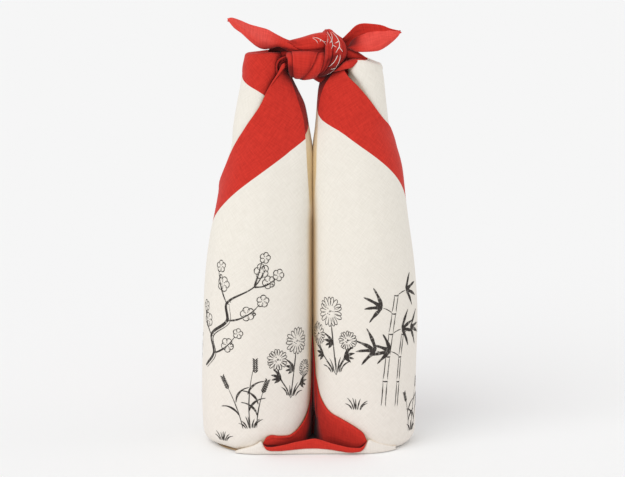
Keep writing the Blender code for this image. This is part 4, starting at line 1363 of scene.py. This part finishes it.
def slub_weave():
    """Uneven yarns running both ways of the cloth: how thick they are at a place."""
    tree = bpy.data.node_groups.new("slub weave", "ShaderNodeTree")
    tree.interface.new_socket("Flat", in_out="INPUT", socket_type="NodeSocketVector")
    tree.interface.new_socket("Yarn", in_out="OUTPUT", socket_type="NodeSocketFloat")
    flat = add_node(tree, "NodeGroupInput").outputs["Flat"]
    yarns = []
    for stretch, shift in (((1.0, 1 / SLUB_LONG, 1.0), 0.0), ((1 / SLUB_LONG, 1.0, 1.0), 7.0)):
        place = add_node(tree, "ShaderNodeVectorMath", {
            0: flat, 1: stretch, 2: (0.0, 0.0, shift)}, operation="MULTIPLY_ADD")
        yarns.append(add_node(tree, "ShaderNodeTexNoise", {
            "Vector": place.outputs["Vector"], "Scale": 1 / SLUB_WIDTH, "Detail": 2.0,
            "Roughness": 0.6}).outputs["Fac"])
    mean = math_node(tree, "MULTIPLY", math_node(tree, "ADD", *yarns), 0.5)
    add_node(tree, "NodeGroupOutput", {"Yarn": mean})
    return tree


def yarn_of(tree, weave):
    """The thickness of the yarns, by the place on the flat cloth."""
    inputs = {"Flat": read(tree, "flat", "Vector")}
    return add_node(tree, "ShaderNodeGroup", inputs, node_tree=weave).outputs["Yarn"]


def cotton_material(weave):
    """Slub cotton, dyed red along its hems, with painted shade in its folds and painted light where
    light comes through it.
    """
    material, tree, shader = new_material("slub cotton", {
        "Roughness": 0.9, "Specular IOR Level": 0.22, "Sheen Weight": 0.1, "Sheen Roughness": 0.5})
    yarn = yarn_of(tree, weave)
    place = add_node(tree, "ShaderNodeTexCoord").outputs["Object"]
    height = add_node(tree, "ShaderNodeSeparateXYZ", {"Vector": place}).outputs["Z"]
    dyed = ranged(tree, read(tree, "dye"), -DYE_EDGE, DYE_EDGE)
    undyed = mixed(tree, ranged(tree, height, *CREAM_RISE), CREAM_LOW, CREAM)
    # painted light: where the glow attribute says, the colour turns to the glow colours
    glow = read(tree, "glow")
    colour = mixed(tree, glow, mixed(tree, dyed, undyed, RED),
                   mixed(tree, dyed, CREAM_GLOW, RED_GLOW))
    thin_yarn = mixed(tree, dyed, CREAM_THIN, RED_THIN)
    full_yarn = mixed(tree, dyed, CREAM_FULL, RED_FULL)
    yarns = mixed(tree, ranged(tree, yarn, *YARN_THICK), thin_yarn, full_yarn)
    colour = mixed(tree, 1.0, colour, yarns, "MULTIPLY")
    # painted shade: an ambient occlusion node and the deep attribute tint the colour in folds
    nook = add_node(tree, "ShaderNodeAmbientOcclusion", {"Distance": NOOK_REACH},
                    samples=NOOK_SAMPLES, only_local=True)
    closed = ranged(tree, nook.outputs["AO"], *NOOK_OPEN, 1.0, 0.0)
    closed = math_node(tree, "SUBTRACT", closed, glow, use_clamp=True)
    tint = mixed(tree, dyed, CREAM_NOOK, RED_NOOK)
    deep = read(tree, "deep")
    for near in (closed, ranged(tree, deep, *DEEP_TINT)):
        colour = mixed(tree, near, colour, mixed(tree, 1.0, colour, tint, "MULTIPLY"))
    # painted shade: the closest folds darkened to near black
    colour = mixed(tree, ranged(tree, deep, *DEEP_DARKEN), colour, PAINTED_DARK)
    tree.links.new(colour, shader.inputs["Base Color"])
    bump = add_node(tree, "ShaderNodeBump", {
        "Strength": 0.5, "Distance": YARN_HIGH, "Height": yarn})
    tree.links.new(bump.outputs["Normal"], shader.inputs["Normal"])
    return material


def ink_material(name, colour, weave):
    """Ink sunk into the yarns, broken a little where they are thick."""
    material, tree, shader = new_material(name, {"Roughness": 0.85, "Specular IOR Level": 0.2})
    faded = tuple((1 - INK_FADE) * ink + INK_FADE * cloth for ink, cloth in zip(colour, CREAM))
    worn = ranged(tree, yarn_of(tree, weave), *INK_WORN)
    tree.links.new(mixed(tree, worn, colour, faded), shader.inputs["Base Color"])
    return material


# --------------------------------------------------------- floor, light, camera
CAMERA_HEIGHT = 0.43
CAMERA_DISTANCE = 1.5
CAMERA_TILT = math.radians(10.26)
CAMERA_LENS = 114.9
FLOOR_WHITE = (0.95, 0.95, 0.95, 1.0)
FLOOR_SIZE, FLOOR_PLACE = 60.0, (0.0, 10.0, -0.0002)
SKY_STRENGTH = 0.72
LAMP_SPREAD = 50.0  # degrees across which a lamp's light is spread
LAMPS = (
    # name, strength, direction of the light
    ("key", 1.05, (1.1, 1.3, -1.5)),
    ("fill", 0.3, (-1.6, 0.1, -0.5)),
)


def studio():
    """A pale floor and soft white light all round, with a lamp from each side."""
    scene = bpy.context.scene
    bpy.ops.mesh.primitive_plane_add(size=FLOOR_SIZE, location=FLOOR_PLACE)
    floor = bpy.context.active_object
    floor.name = "studio_floor"
    pale = {"Base Color": FLOOR_WHITE, "Roughness": 0.9, "Specular IOR Level": 0.0}
    floor.data.materials.append(new_material("pale floor", pale)[0])
    world = bpy.data.worlds.new("studio")
    world.use_nodes = True
    back = world.node_tree.nodes["Background"]
    back.inputs["Color"].default_value = (1.0, 1.0, 1.0, 1.0)
    back.inputs["Strength"].default_value = SKY_STRENGTH
    scene.world = world
    for name, strength, way in LAMPS:
        sun = bpy.data.lights.new(name, "SUN")
        sun.energy, sun.angle = strength, math.radians(LAMP_SPREAD)
        lamp = bpy.data.objects.new(name, sun)
        lamp.rotation_euler = Vector(way).to_track_quat("-Z", "Y").to_euler()
        scene.collection.objects.link(lamp)
    camera_data = bpy.data.cameras.new("camera")
    camera_data.lens = CAMERA_LENS
    camera = bpy.data.objects.new("camera", camera_data)
    camera.location = (SEAM_X * MM, -CAMERA_DISTANCE, CAMERA_HEIGHT)
    camera.rotation_euler = (math.pi / 2 - CAMERA_TILT, 0.0, 0.0)
    scene.collection.objects.link(camera)
    scene.camera = camera
    scene.view_settings.view_transform = "Standard"


def main():
    sheet = Sheet()
    walls = [roll_sheet(sheet, roll) for roll in ROLLS]
    strands = {name: strand(sheet, *shape, float(seed)) for seed, (name, *shape) in enumerate(KNOT)}
    for seed, (light, rows) in enumerate(CORNERS):
        leaf(sheet, light, rows, 1.0 + seed)
    pocket(sheet, FRONT_POCKET, 1.0)
    pocket(sheet, BACK_POCKET, -1.0)
    strip(sheet, 1.0)
    strip(sheet, -1.0)
    sole(sheet)
    wrap = sheet.build("furoshiki_cloth")
    weave = slub_weave()
    wrap.data.materials.append(cotton_material(weave))
    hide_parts("furoshiki")
    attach(wrap, "root")
    black_drawings(walls).build("black_print", ink_material("black ink", INK, weave))
    white_drawings(strands).build("white_print", ink_material("white ink", WHITE_INK, weave))
    studio()


main()
